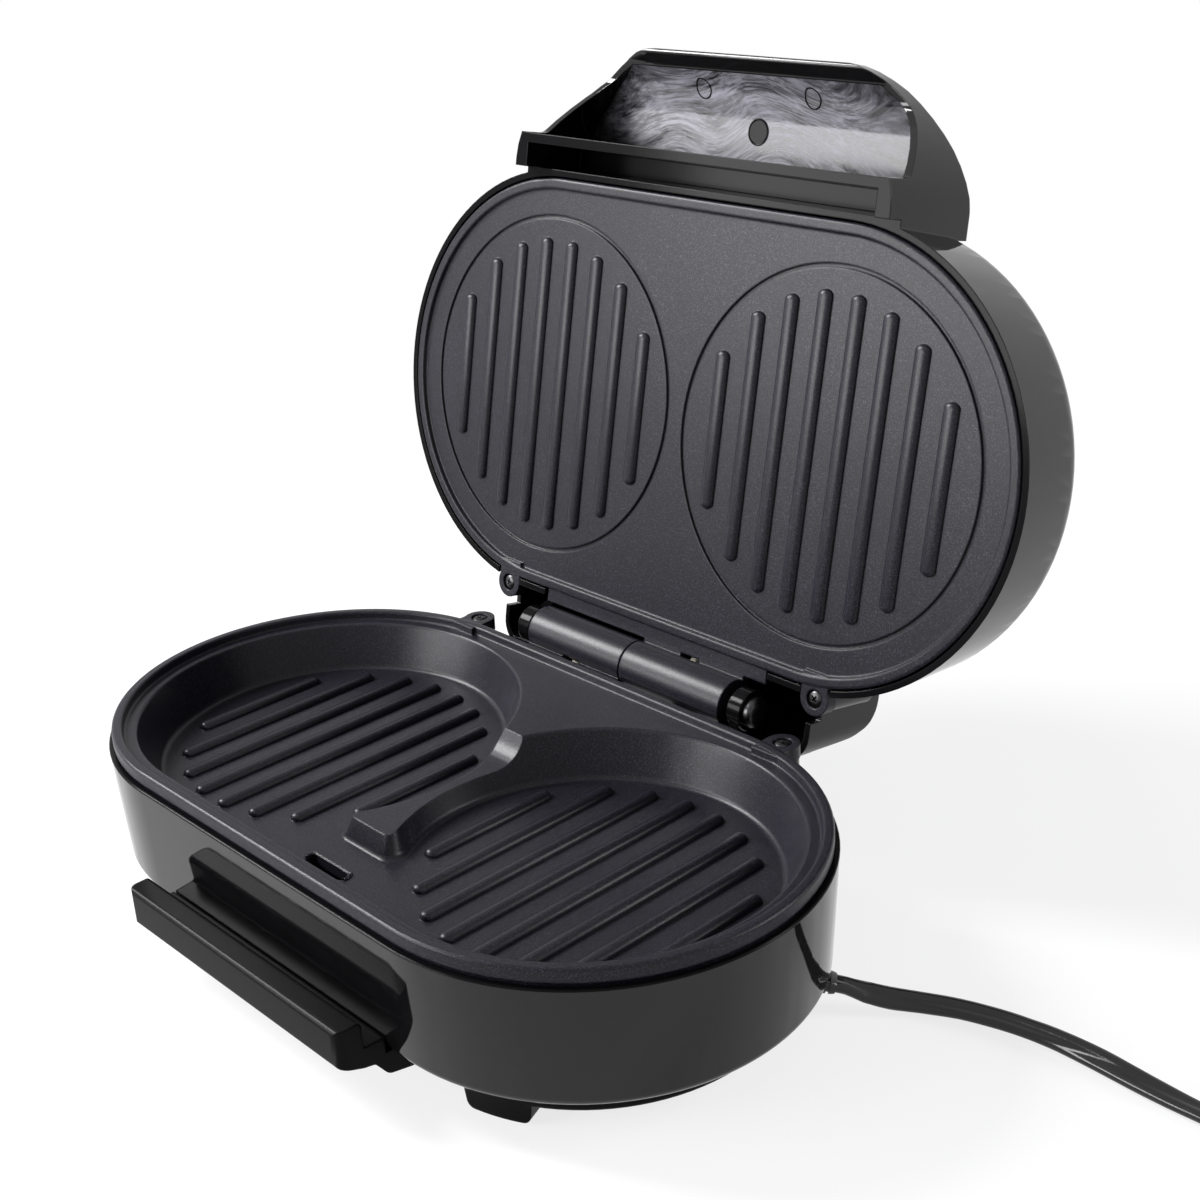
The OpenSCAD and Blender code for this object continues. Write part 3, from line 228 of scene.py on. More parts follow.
# %% Streaks: rubbing and polishing marks
streaks = bpy.data.node_groups.new("rub_streaks", "ShaderNodeTree")
socket(streaks, "Scale", "INPUT", value=60)
socket(streaks, "Low", "INPUT", value=0.5)
socket(streaks, "Mask", "OUTPUT")
inside = node(streaks, "NodeGroupInput")
outside = node(streaks, "NodeGroupOutput")
where = node(streaks, "ShaderNodeTexCoord").outputs["Object"]
bend = node(streaks, "ShaderNodeTexNoise", [("Vector", where)], Scale=14.0, Detail=1.0)
bent = node(streaks, "ShaderNodeVectorMath", [(0, bend.outputs["Color"]), (1, where)],
            operation="MULTIPLY_ADD")
bent.inputs[1].default_value = (0.05, 0.05, 0.05)
streaks.links.new(where, bent.inputs[2])
long_way = node(streaks, "ShaderNodeMapping", [("Vector", bent.outputs[0])])
long_way.inputs["Rotation"].default_value = (0.4, 0.5, 0.9)
long_way.inputs["Scale"].default_value = (1, 7, 7)
lines = node(streaks, "ShaderNodeTexNoise",
             [("Vector", long_way.outputs[0]), ("Scale", inside.outputs["Scale"])],
             Detail=5.0, Roughness=0.65)
top = node(streaks, "ShaderNodeMath", [(0, inside.outputs["Low"])], operation="ADD")
top.inputs[1].default_value = 0.25
mask = node(streaks, "ShaderNodeMapRange",
            [("Value", lines.outputs["Fac"]), ("From Min", inside.outputs["Low"]),
             ("From Max", top.outputs[0])])
streaks.links.new(mask.outputs["Result"], outside.inputs["Mask"])

# %% Grain: the fine texture of a spark-eroded mould
grain = bpy.data.node_groups.new("mould_grain", "ShaderNodeTree")
socket(grain, "Scale", "INPUT", value=1500)
socket(grain, "Height", "OUTPUT")
inside = node(grain, "NodeGroupInput")
outside = node(grain, "NodeGroupOutput")
where = node(grain, "ShaderNodeTexCoord").outputs["Object"]
cells = node(grain, "ShaderNodeTexVoronoi",
             [("Vector", where), ("Scale", inside.outputs["Scale"])])
fine = node(grain, "ShaderNodeTexNoise",
            [("Vector", where), ("Scale", inside.outputs["Scale"])], Detail=2.0)
mixed = node(grain, "ShaderNodeMath",
             [(0, cells.outputs["Distance"]), (1, fine.outputs["Fac"])], operation="ADD")
grain.links.new(mixed.outputs[0], outside.inputs["Height"])
print("node groups:", [g.name for g in bpy.data.node_groups])


# %% A finish starts from its plain values
def new_finish(name, colour, roughness, metallic=0.0, specular=0.5):
    made = bpy.data.materials.new(name)
    made.use_nodes = True
    tree = made.node_tree
    shader = tree.nodes["Principled BSDF"]
    shader.inputs["Base Color"].default_value = (*colour, 1)
    shader.inputs["Roughness"].default_value = roughness
    shader.inputs["Metallic"].default_value = metallic
    shader.inputs["Specular IOR Level"].default_value = specular
    made.diffuse_color = (*colour, 1)
    finishes[name] = made
    return tree, shader


def placed(tree, group, **values):
    made = tree.nodes.new("ShaderNodeGroup")
    made.node_tree = group
    for key, value in values.items():
        made.inputs[key].default_value = value
    return made


def two_tone(tree, shader, mask, first, second):
    mix = node(tree, "ShaderNodeMix", data_type="RGBA")
    tree.links.new(mask, mix.inputs["Factor"])
    mix.inputs["A"].default_value = (*first, 1)
    mix.inputs["B"].default_value = (*second, 1)
    tree.links.new(mix.outputs["Result"], shader.inputs["Base Color"])


def bumped(tree, shader, height, strength, depth, edge=0.0):
    bump = node(tree, "ShaderNodeBump", [("Height", height)])
    bump.inputs["Strength"].default_value = strength
    bump.inputs["Distance"].default_value = depth
    if edge:
        soft = node(tree, "ShaderNodeBevel", samples=6)
        soft.inputs["Radius"].default_value = edge
        tree.links.new(soft.outputs["Normal"], bump.inputs["Normal"])
    tree.links.new(bump.outputs["Normal"], shader.inputs["Normal"])


# %% [markdown]
# The shell is a piano-black moulding: nearly a mirror, with faint swirls where it was wiped. The
# chassis and the handle come from a finer-grained mould and only shine softly. The plates carry a
# charcoal coating with a fleck in it, which is rougher and a little blue.

# %% Shell, chassis and plates
tree, shader = new_finish("gloss_black", (0.003, 0.003, 0.0034), 0.07, specular=0.32)
marks = placed(tree, streaks, Scale=55.0, Low=0.5)
tree.links.new(mapped(tree, marks.outputs["Mask"], (0, 1, 0.05, 0.13)), shader.inputs["Roughness"])
two_tone(tree, shader, marks.outputs["Mask"], (0.0025, 0.0025, 0.0028), (0.005, 0.005, 0.0056))
bumped(tree, shader, placed(tree, grain, Scale=260.0).outputs["Height"], 0.012, 0.0002, edge=0.0005)

tree, shader = new_finish("satin_black", (0.002, 0.002, 0.0022), 0.3, specular=0.05)
marks = placed(tree, streaks, Scale=90.0, Low=0.56)
tree.links.new(mapped(tree, marks.outputs["Mask"], (0, 1, 0.28, 0.34)), shader.inputs["Roughness"])
two_tone(tree, shader, marks.outputs["Mask"], (0.0025, 0.0025, 0.0028), (0.004, 0.004, 0.0043))
bumped(tree, shader, placed(tree, grain, Scale=1400.0).outputs["Height"], 0.1, 0.0001, edge=0.0008)

tree, shader = new_finish("nonstick", (0.008, 0.0077, 0.0095), 0.3, specular=0.17)
flecks = placed(tree, speckle, Scale=2600.0)
two_tone(tree, shader, flecks.outputs["Mask"], (0.006, 0.0057, 0.0085), (0.046, 0.043, 0.06))
tree.links.new(mapped(tree, flecks.outputs["Mask"], (0, 1, 0.33, 0.25)), shader.inputs["Roughness"])
bumped(tree, shader, flecks.outputs["Height"], 0.16, 0.00012, edge=0.0008)
print("finishes:", list(finishes))

# %% [markdown]
# The hollow of the lid handle is the one place that still shows how the shell was wiped: curved
# streaks, painted a light grey that stands for a sheen, thickest in the middle. A soft ball of
# painted sheen, centred there by a Mapping node, lets the streaks through and fades out to the clean
# black of the shell. The inside of the trough and the rims lie in the shade of the plates, and a copy
# of the gloss that reflects less paints that shade on them.

# %% Wipe marks with a painted sheen, and painted shade on the gloss
# Painted sheen: the wipe streaks are painted light grey inside a soft ball, which fades to black at its edge.
tree, shader = new_finish("wipes_and_painted_sheen", (0.02, 0.02, 0.022), 0.2, specular=0.3)
where = node(tree, "ShaderNodeTexCoord").outputs["Object"]
sheen_centre = lid_matrix @ Vector((0, -94, 82))
SHEEN_SCALE = (13.5, 20.0, 44.0)
centred = node(tree, "ShaderNodeMapping", [("Vector", where)])
centred.inputs["Location"].default_value = [-c * k for c, k in zip(sheen_centre, SHEEN_SCALE)]
centred.inputs["Scale"].default_value = SHEEN_SCALE
ball = node(tree, "ShaderNodeTexGradient", [("Vector", centred.outputs[0])], gradient_type="SPHERICAL")
marks = placed(tree, streaks, Scale=20.0, Low=0.38)
fine_marks = placed(tree, streaks, Scale=75.0, Low=0.42)
both = node(tree, "ShaderNodeMath",
            [(0, marks.outputs["Mask"]), (1, fine_marks.outputs["Mask"])], operation="ADD")
fade = mapped(tree, ball.outputs["Fac"], (0, 0.45, 0.05, 0.62))
painted_sheen_streaks = node(tree, "ShaderNodeMath", [(0, both.outputs[0]), (1, fade)],
            operation="MULTIPLY", use_clamp=True)
two_tone(tree, shader, painted_sheen_streaks.outputs[0], (0.006, 0.006, 0.0065), (0.2, 0.195, 0.225))
tree.links.new(mapped(tree, painted_sheen_streaks.outputs[0], (0, 1, 0.1, 0.45)), shader.inputs["Roughness"])
bumped(tree, shader, placed(tree, grain, Scale=260.0).outputs["Height"], 0.02, 0.0002, edge=0.0005)

# Painted shade: a copy of the black gloss that reflects less, for the trough and the rims; the ejector marks
# use it as their dull face.
tree, shader = new_finish("dull_gloss_and_painted_shade", (0.003, 0.003, 0.0034), 0.12, specular=0.05)
bumped(tree, shader, placed(tree, grain, Scale=260.0).outputs["Height"], 0.012, 0.0002, edge=0.0005)

# %% [markdown]
# The small things: cord and rubber are soft and nearly matt, screws are steel under a thin black or
# zinc skin, and the parts that only a repairer sees are aluminium, ceramic, glass sleeving and brass.

# %% Cord, rubber, screws and the inner parts
tree, shader = new_finish("cord_black", (0.004, 0.004, 0.0045), 0.22, specular=0.4)
marks = placed(tree, streaks, Scale=120.0, Low=0.5)
tree.links.new(mapped(tree, marks.outputs["Mask"], (0, 1, 0.17, 0.3)), shader.inputs["Roughness"])
bumped(tree, shader, placed(tree, grain, Scale=900.0).outputs["Height"], 0.08, 0.0001)

for name, colour, rough, metal, size, edge in (
        ("pad_rubber", (0.02, 0.02, 0.02), 0.75, 0, 1800, 0.0003),
        ("screw_steel", (0.55, 0.55, 0.56), 0.35, 1, 900, 0.0002),
        ("dark_screw", (0.05, 0.05, 0.052), 0.3, 1, 700, 0.00025),
        ("element", (0.55, 0.54, 0.52), 0.5, 1, 600, 0),
        ("ceramic", (0.68, 0.63, 0.52), 0.25, 0, 300, 0.0003),
        ("wire_sleeving", (0.62, 0.57, 0.47), 0.8, 0, 2200, 0),
        ("brass_blade", (0.74, 0.6, 0.33), 0.25, 1, 500, 0.0002)):
    tree, shader = new_finish(name, colour, rough, metal)
    marks = placed(tree, streaks, Scale=160.0, Low=0.48)
    two_tone(tree, shader, marks.outputs["Mask"], colour, [c * 0.72 for c in colour])
    rubbed = mapped(tree, marks.outputs["Mask"], (0, 1, rough, min(rough + 0.2, 1)))
    tree.links.new(rubbed, shader.inputs["Roughness"])
    relief = placed(tree, grain, Scale=float(size)).outputs["Height"]
    bumped(tree, shader, relief, 0.15, 0.0001, edge=edge)

tree, shader = new_finish("lens", (0.42, 0.03, 0.02), 0.12)
shader.inputs["Transmission Weight"].default_value = 0.6
bumped(tree, shader, placed(tree, grain, Scale=500.0).outputs["Height"], 0.05, 0.0001)

# %% Every node starts with the finish of its slot
for part in frame["record"]["subparts"]:
    seat = frame["nodes"][part["node"]]
    seat.data.materials.clear()
    seat.data.materials.append(finishes[part["material_slot"]])
print(len(frame["nodes"]), "nodes dressed")

# %% [markdown]
# ## Cord
# The lead is a flat twin: two round cores side by side in one PVC jacket. It leaves the chassis low
# at the rear right, turns on edge, lies down again and goes to a neat coil with its plug. Its line
# is the CAD route, made smooth, and a two-lobed ring is carried along it.

# %% The line of the lead
OUTLET_ANGLE, OUTLET_DIP, COVER_R, OUTLET_Z = math.radians(38), math.radians(12), 59.0, 10.3
RELIEF_IN, RELIEF_LEN = 9.6, 10.5
CORD_W, CORD_T = 6.4, 3.3
FLAT_Z, EDGE_Z, COIL_Z = CORD_T / 2 + 0.1, CORD_W / 2 + 0.1, 1.2 + CORD_T / 2
COIL_X, COIL_Y, COIL_R, COIL_PITCH, COIL_TURNS = 247.0, 110.0, 40.3, 7.0, 1.5
LAYER, CLIMB_DIP, TAIL, STEPS = CORD_T + 0.55, 4.5, 30.0, 36
outlet_way = Vector((math.cos(OUTLET_ANGLE) * math.cos(OUTLET_DIP),
                     math.sin(OUTLET_ANGLE) * math.cos(OUTLET_DIP), -math.sin(OUTLET_DIP)))
outlet = Vector((HALF + COVER_R * math.cos(OUTLET_ANGLE), COVER_R * math.sin(OUTLET_ANGLE),
                 OUTLET_Z))
lead_start = outlet + outlet_way * (RELIEF_LEN + 0.15)
route = [(121, 48, 5.4, 28), (127, 52, 4.1, 55), (133.5, 56.8, EDGE_Z, 80), (143.5, 61.8, EDGE_Z, 90),
         (154.5, 65.4, EDGE_Z, 90), (163, 67.2, EDGE_Z, 90), (172, 68.3, EDGE_Z, 80), (184, 68.9, 2.9, 50),
         (198, 68.9, 2.2, 20), (212, 69.2, FLAT_Z, 0), (224, 69.6, 2.2, 0), (234, COIL_Y - COIL_R, COIL_Z, 0)]


def between(a, b, c, d, t):
    """A smooth curve from b to c, whose slopes come from the neighbours a and d."""
    return 0.5 * (2 * b + (c - a) * t + (2 * a - 5 * b + 4 * c - d) * t * t
                  + (3 * b - 3 * c + d - a) * t ** 3)


line = [(outlet + outlet_way * (RELIEF_LEN - 3), 0), (lead_start, 0), (lead_start + outlet_way * 2.5, 0)]
for i in range(len(route) - 1):
    a, b, c, d = (route[min(max(j, 0), len(route) - 1)] for j in range(i - 1, i + 3))
    for k in range(4):
        t = k / 4
        point = Vector([between(a[m], b[m], c[m], d[m], t) for m in range(3)])
        line.append((point, b[3] + (c[3] - b[3]) * t))
line.append((Vector((234, COIL_Y - COIL_R, COIL_Z)), 0))

# %% The coil: in on the table, up one layer, and out again
inner_r = COIL_R - COIL_TURNS * COIL_PITCH
ways_in, ways_up, ways_out = int(COIL_TURNS * STEPS), STEPS // 2, STEPS
for i in range(ways_in + ways_up + ways_out + 1):
    up = min(max((i - ways_in) / ways_up, 0), 1)
    if i <= ways_in:
        radius = COIL_R - COIL_PITCH * i / STEPS
    elif i <= ways_in + ways_up:
        radius = inner_r - CLIMB_DIP * math.sin(math.pi * up)
    else:
        radius = inner_r + COIL_PITCH * (i - ways_in - ways_up) / STEPS
    angle = 2 * math.pi * i / STEPS - math.pi / 2
    height = COIL_Z + LAYER * up ** 3 * (10 - 15 * up + 6 * up * up)
    line.append((Vector((COIL_X + radius * math.cos(angle), COIL_Y + radius * math.sin(angle),
                         height)), 0))
last = line[-1][0]
line += [(last + Vector((TAIL * k / 3, 0, 0)), 0) for k in (1, 2, 2.98)]
lead_length = sum((b[0] - a[0]).length for a, b in zip(line[1:], line[2:])) * MM
print("lead", len(line), "points,", round(lead_length, 3), "m")

# %% The two-lobed ring, carried along the line
CORE_R, CORE_X, LOBE = CORD_T / 2, (CORD_W - CORD_T) / 2, math.radians(118)
lobes = []
for side in (1, -1):
    for k in range(9):
        turn = -LOBE + 2 * LOBE * k / 8
        lobes.append((side * (CORE_X + CORE_R * math.cos(turn)), side * CORE_R * math.sin(turn)))
    lobes.append((0, side * 1.18))


def carry_ring(bm, points, rolls, ring):
    rows = []
    for i, point in enumerate(points):
        way = (points[min(i + 1, len(points) - 1)] - points[max(i - 1, 0)]).normalized()
        across = Vector((0, 0, 1)).cross(way).normalized()
        over = way.cross(across)
        roll = math.radians(rolls[i])
        side = across * math.cos(roll) + over * math.sin(roll)
        lift = over * math.cos(roll) - across * math.sin(roll)
        rows.append([bm.verts.new(point + side * u + lift * v) for u, v in ring])
    for first, second in zip(rows, rows[1:]):
        for k in range(len(ring)):
            n = (k + 1) % len(ring)
            bm.faces.new((first[k], first[n], second[n], second[k]))
    bm.faces.new(rows[0])
    bm.faces.new(rows[-1])


bm = bmesh.new()
carry_ring(bm, [p for p, _ in line], [r for _, r in line], lobes)
lead = finish_piece(bm, "lead", "base", "cord_black", ["power_cord", "cord_coil"], sharp=60)

# %% [markdown]
# The strain relief is a soft tapered sleeve moulded onto the lead. Its neck sits in a slot of the
# chassis between two flanges, its tail lies inside, and its nose stays under the edge of the shell.
# One rounded ring, carried straight out along the outlet, makes it: only the ring's size changes.

# %% Strain relief
bm = bmesh.new()
sleeve = [(-RELIEF_IN, 3.5, 1.9), (0.4 - RELIEF_IN, 3.7, 2.1), (-4.7, 3.7, 2.1), (-4.6, 5.0, 2.5),
          (-3.3, 5.0, 2.5), (-3.2, 4.0, 2.6), (1.3, 4.0, 2.6), (1.35, 5.1, 3.3), (2.75, 5.1, 3.3),
          (2.9, 4.4, 2.9)]     # distance along the outlet, half width, half thickness
for k in range(3):
    start, u, v = 4.0 + k * 1.9, 4.25 - k * 0.2, 2.75 - k * 0.18
    sleeve += [(start, u, v), (start + 0.1, u - 0.6, v - 0.4), (start + 0.8, u - 0.6, v - 0.4),
               (start + 0.9, u, v)]
sleeve += [(RELIEF_LEN - 0.5, 3.6, 2.15), (RELIEF_LEN, 3.4, 1.95)]
SIDES, SQUARENESS = 24, 0.6
corners = [tuple(math.copysign(abs(c) ** SQUARENESS, c) for c in (math.cos(a), math.sin(a)))
           for a in (2 * math.pi * (k + 0.5) / SIDES for k in range(SIDES))]
across = Vector((0, 0, 1)).cross(outlet_way).normalized()
over = outlet_way.cross(across)
rows = [[bm.verts.new(outlet + outlet_way * s + across * u * x + over * v * y) for x, y in corners]
        for s, u, v in sleeve]
for first, second in zip(rows, rows[1:]):
    edges = [bm.edges.get((row[k], row[k - 1])) or bm.edges.new((row[k], row[k - 1]))
             for row in (first, second) for k in range(SIDES)]
    bmesh.ops.bridge_loops(bm, edges=edges)
bm.faces.new(rows[0])
bm.faces.new(rows[-1])
finish_piece(bm, "relief_sleeve", "base", "cord_black", ["strain_relief"])

# %% [markdown]
# ## Castings and mouldings
# The plates, shells, chassis and pads keep their CAD forms. A merged copy of each has smooth round
# walls, and the finish rounds its edges, as the draft and the tumbling of the real pieces do. Zones
# of the shells that are wiped or lie in the shade get a finish of their own: wipe marks with a painted
# sheen in the hood's hollow, and painted shade in the trough and on the rims.

# %% Castings and mouldings
HOOD_RIM = [(-107.5, 76.5), (-101.5, 77.7), (-96.5, 74.6), (-82.5, 62.4)]     # y, z of the frame
HOOD_HALF, RIM_MARGIN, CEILING_Z = 75, 0.7, 70
TROUGH_FRONT, TROUGH_BACK, TROUGH_HALF = -79.9, -71, 73.5


def hood_ceiling(at, normal):
    """Is this the hollow's ceiling, and not the edge of its frame?"""
    if not (HOOD_RIM[0][0] < at.y < TROUGH_FRONT and abs(at.x) < HOOD_HALF and normal.z < -0.25):
        return False
    for (y0, z0), (y1, z1) in zip(HOOD_RIM, HOOD_RIM[1:]):
        if y0 <= at.y <= y1:
            return at.z > z0 + (z1 - z0) * (at.y - y0) / (y1 - y0) + RIM_MARGIN
    return at.z > CEILING_Z


def trough_inside(at, normal):
    return TROUGH_FRONT < at.y < TROUGH_BACK and 52 < at.z < 78.5 and abs(at.x) < TROUGH_HALF


def lid_rim(at, normal):
    return at.z < 60.5 and normal.z < -0.3


def base_rim(at, normal):
    return at.z > 50 and normal.z > 0.2


# Painted shade: the trough and both rims take the gloss copy that reflects less; the hood's ceiling takes
# wipe marks with a painted sheen.
shell = smooth_cast("lid_housing", "lid_shell", "lid", "gloss_black",
                    [(hood_ceiling, "wipes_and_painted_sheen"), (trough_inside, "dull_gloss_and_painted_shade"),
                     (lid_rim, "dull_gloss_and_painted_shade")])
smooth_cast("base_housing", "base_housing_cast", "base", "gloss_black",
            [(base_rim, "dull_gloss_and_painted_shade")])
for cad, body, finish in (("upper_plate", "lid", "nonstick"),
                          ("base_cover", "base", "satin_black"),
                          ("foot_pads", "base", "pad_rubber")):
    smooth_cast(cad, cad + "_cast", body, finish)

# %% [markdown]
# Between the wells stands an island. Its front is a flat-topped nose with a steep face and rounded
# corners, which the plain section of the casting can't give. A Boolean takes the front off, and the
# nose is lofted from the floor up: every level follows the two wells' walls and its own front line,
# and wider levels at the foot make the fillet. It reaches a little into the island behind it, a
# hair inside its walls, so that a second Boolean can join the two.

# %% Island nose
FLOOR_Z, TOP_Z, PLATEAU_Z, FLOOR_R, WELL_TOP_R = 40.3, 47.0, 55.1, 55.8, 61.4
CUT_Y, NOSE_BACK, NOSE_FRONT, NOSE_FOOT, FOOT_R, HAIR = -22.0, -20.5, -30.9, -33.9, 2.2, 0.02
CUT_SIZE = Vector((48, 16, 19.4))


def wall_radius(z):
    return FLOOR_R + (WELL_TOP_R - FLOOR_R) * (z - FLOOR_Z) / (PLATEAU_Z - FLOOR_Z)


def nose_level(z, radius):
    """Outline of the island at one height, between the wells' walls of this radius."""
    depth, grow = (TOP_Z - z) / (TOP_Z - FLOOR_Z), wall_radius(z) - radius
    front = NOSE_FRONT + (NOSE_FOOT - NOSE_FRONT) * depth - 0.45 * grow

    def wall(y):
        return Vector((HALF - HAIR - math.sqrt(radius ** 2 - y ** 2), y))
    side = [wall(NOSE_BACK + (front + 4.3 + 1.4 * depth - NOSE_BACK) * k / 8) for k in range(9)]
    inner = Vector((6.2 + 1.6 * depth + 0.4 * grow, front))
    tip = Vector((min(wall(front).x, inner.x + 4.2), front))
    turn = [side[-1].lerp(tip, k / 8).lerp(tip.lerp(inner, k / 8), k / 8) for k in range(1, 9)]
    return side + turn + [Vector((-p.x, p.y)) for p in reversed(side + turn)]


lean = math.atan2(WELL_TOP_R - FLOOR_R, PLATEAU_Z - FLOOR_Z)
foot_start = FLOOR_R - FOOT_R / math.tan((math.pi / 2 + lean) / 2)
levels = [(FLOOR_Z - 0.5, foot_start)]
for k in range(7):
    turn = (math.pi / 2 - lean) * k / 6 - math.pi / 2
    levels.append((FLOOR_Z - HAIR + FOOT_R * (1 + math.sin(turn)), foot_start + FOOT_R * math.cos(turn)))
levels.append((TOP_Z - HAIR, wall_radius(TOP_Z)))
nose = bmesh.new()
rows = [[nose.verts.new((p.x, p.y, z)) for p in nose_level(z, radius)] for z, radius in levels]
for low, high in zip(rows, rows[1:]):
    edges = [nose.edges.get(pair) or nose.edges.new(pair)
             for row in (low, high) for pair in zip(row, row[1:] + row[:1])]
    bmesh.ops.bridge_loops(nose, edges=edges)
nose.faces.new(rows[0])
nose.faces.new(rows[-1])
bmesh.ops.recalc_face_normals(nose, faces=nose.faces)
bmesh.ops.transform(nose, matrix=base_matrix, verts=nose.verts)
front_of_island = bmesh.new()
cut_place = Matrix.Translation((0, CUT_Y - CUT_SIZE.y / 2, FLOOR_Z + CUT_SIZE.z / 2))
bmesh.ops.create_cube(front_of_island, size=1,
                      matrix=base_matrix @ cut_place @ Matrix.Diagonal((*CUT_SIZE, 1)))
smooth_cast("lower_plate", "lower_plate_cast", "base", "nonstick",
            steps=[(front_of_island, "DIFFERENCE"), (nose, "UNION")])

# %% [markdown]
# The drip slot has a fine raised lip along its rear and round its ends: one small ring, carried
# along half of the slot's outline.

# %% Lip of the drip slot
LIP_R, SLOT_Y, SLOT_X, SLOT_R = 0.55, -47.0, 7.2, 1.85
LIP_Z, LIP_FROM, LIP_SWEEP = FLOOR_Z + 0.15, -20, 110
half_slot = []
for side in (-1, 1):
    for k in range(9):
        turn = math.radians(LIP_FROM + LIP_SWEEP * (k / 8 if side > 0 else 1 - k / 8))
        reach = SLOT_R + LIP_R * 0.8
        half_slot.append(Vector((side * (SLOT_X + reach * math.cos(turn)),
                                 SLOT_Y + reach * math.sin(turn), LIP_Z)))
    half_slot.sort(key=lambda p: p.x)
bm = bmesh.new()
ring = [(LIP_R * math.cos(2 * math.pi * k / 12), LIP_R * math.sin(2 * math.pi * k / 12))
        for k in range(12)]
carry_ring(bm, half_slot, [0] * len(half_slot), ring)
finish_piece(bm, "slot_lip", "base", "nonstick", sharp=60)

# %% [markdown]
# Each well and each half of the lid plate carries eight ribs, which stand on a chord each of one
# circle. A rib is a low loaf with round ends: a ball with an odd number of bands has no points on
# its middle, so its halves can be drawn apart, and the band between them is the straight part.

# %% Ribs
RIB_PITCH, RIB_COUNT, RIB_END = 12.2, 8, 1.95


def add_ribs(name, body, matrix, circle, half_width, height, level):
    bm = bmesh.new()
    for side in (-1, 1):
        for i in range(RIB_COUNT):
            x = (i - (RIB_COUNT - 1) / 2) * RIB_PITCH
            reach = math.sqrt(circle ** 2 - x ** 2) - RIB_END
            ball = bmesh.ops.create_uvsphere(bm, u_segments=32, v_segments=13, radius=1,
                                             matrix=Matrix.Rotation(math.radians(90), 4, "X"))["verts"]
            bmesh.ops.scale(bm, vec=(half_width, RIB_END, height), verts=ball)
            for way in (-1, 1):
                half = [v for v in ball if v.co.y * way > 0]
                bmesh.ops.translate(bm, vec=(0, way * reach, 0), verts=half)
            bmesh.ops.translate(bm, vec=(side * HALF + x, 0, level), verts=ball)
    finish_piece(bm, name, body, "nonstick", (), matrix)


add_ribs("lower_ribs", "base", base_matrix, circle=49.0, half_width=2.5, height=2.02, level=FLOOR_Z)
add_ribs("upper_ribs", "lid", lid_matrix, circle=49.5, half_width=2.7, height=1.56, level=59.9)

# %% [markdown]
# A plate is held by one pan-head screw in each ear. The head is turned from its half section with a
# spin, and a tapered cross is cut into it by two Booleans.

# %% Cross-recessed screws
HEAD = [(0, -9), (1.45, -8.6), (1.45, 0), (2.75, 0), (2.75, 0.8), (2.6, 1.2), (2.15, 1.6),
        (1.3, 1.88), (0, 1.98)]
EAR_X, EAR_Y = 69.9, 71.9


def turned(profile, steps=32):
    """A half section of (radius, height) points, spun about Z."""
    bm = bmesh.new()
    corners = [bm.verts.new((r, 0, z)) for r, z in profile]
    lines = [bm.edges.new(pair) for pair in zip(corners, corners[1:])]
    bmesh.ops.spin(bm, geom=corners + lines, cent=(0, 0, 0), axis=(0, 0, 1), dvec=(0, 0, 0),
                   angle=2 * math.pi, steps=steps, use_merge=True, use_duplicate=False)
    bmesh.ops.remove_doubles(bm, verts=bm.verts, dist=1e-4)
    bmesh.ops.recalc_face_normals(bm, faces=bm.faces)
    return bm


punches = []
for turn in (0, 90):
    punch = bmesh.new()
    bmesh.ops.create_cube(punch, size=1, matrix=Matrix.Diagonal((3.3, 0.66, 2.4, 1)))
    bmesh.ops.scale(punch, vec=(0.45, 0.7, 1), verts=[v for v in punch.verts if v.co.z < 0])
    stand = Matrix.Translation((0, 0, 1.8)) @ Matrix.Rotation(math.radians(turn), 4, "Z")
    bmesh.ops.transform(punch, matrix=stand, verts=punch.verts)
    punches.append(punch)
screw_mesh = carved(turned(HEAD), *[(punch, "DIFFERENCE") for punch in punches])


def add_screws(name, body, matrix, cad, level, flip):
    bm = bmesh.new()
    for side in (-1, 1):
        held = len(bm.verts)
        bm.from_mesh(screw_mesh)
        bm.verts.ensure_lookup_table()
        fresh = bm.verts[held:]
        stand = (Matrix.Translation((side * EAR_X, EAR_Y, level)) @ Matrix.Rotation(flip, 4, "X")
                 @ Matrix.Rotation(math.radians(20 + 30 * side), 4, "Z"))
        bmesh.ops.transform(bm, matrix=stand, verts=fresh)
    finish_piece(bm, name, body, "dark_screw", [cad], matrix, sharp=28)


add_screws("lower_ear_screws", "base", base_matrix, "base_plate_screws", level=55.8, flip=0)
add_screws("upper_ear_screws", "lid", lid_matrix, "lid_plate_screws", level=60.7, flip=math.pi)

# %% Hinge pins
PIN_R, PIN_STEPS = 3.5, 40
PIN_HEAD = [(5.0, 0.05), (5.0, 1.5), (4.85, 2.1), (4.4, 2.55), (3.6, 2.85), (2.0, 3.0), (0, 3.05)]
for name, body, matrix, cad, way, head_at, inner in (
        ("right_pin", "base", base_matrix, "right_hinge_pin", 1, 48.6, 28.0),
        ("left_pin", "lid", lid_matrix, "left_hinge_pin", -1, 53.6, 34.0)):
    foot = inner - head_at
    bm = turned([(0, foot), (PIN_R - 0.3, foot), (PIN_R, foot + 0.4), (PIN_R, 0.05)] + PIN_HEAD,
                PIN_STEPS)
    stand = (Matrix.Translation((way * head_at, HINGE.y, HINGE.z))
             @ Matrix.Rotation(math.radians(90 * way), 4, "Y"))
    bmesh.ops.transform(bm, matrix=stand, verts=bm.verts)
    finish_piece(bm, name, body, "dark_screw", [cad], matrix)

# %% [markdown]
# The mould's ejector pins leave round marks in the hollow: a fine raised ring each, and a darker
# face in the largest. A ring is a small circle spun about the pin's line. The rings follow the
# ceiling, which is found by casting a ray from each point straight up into the shell.

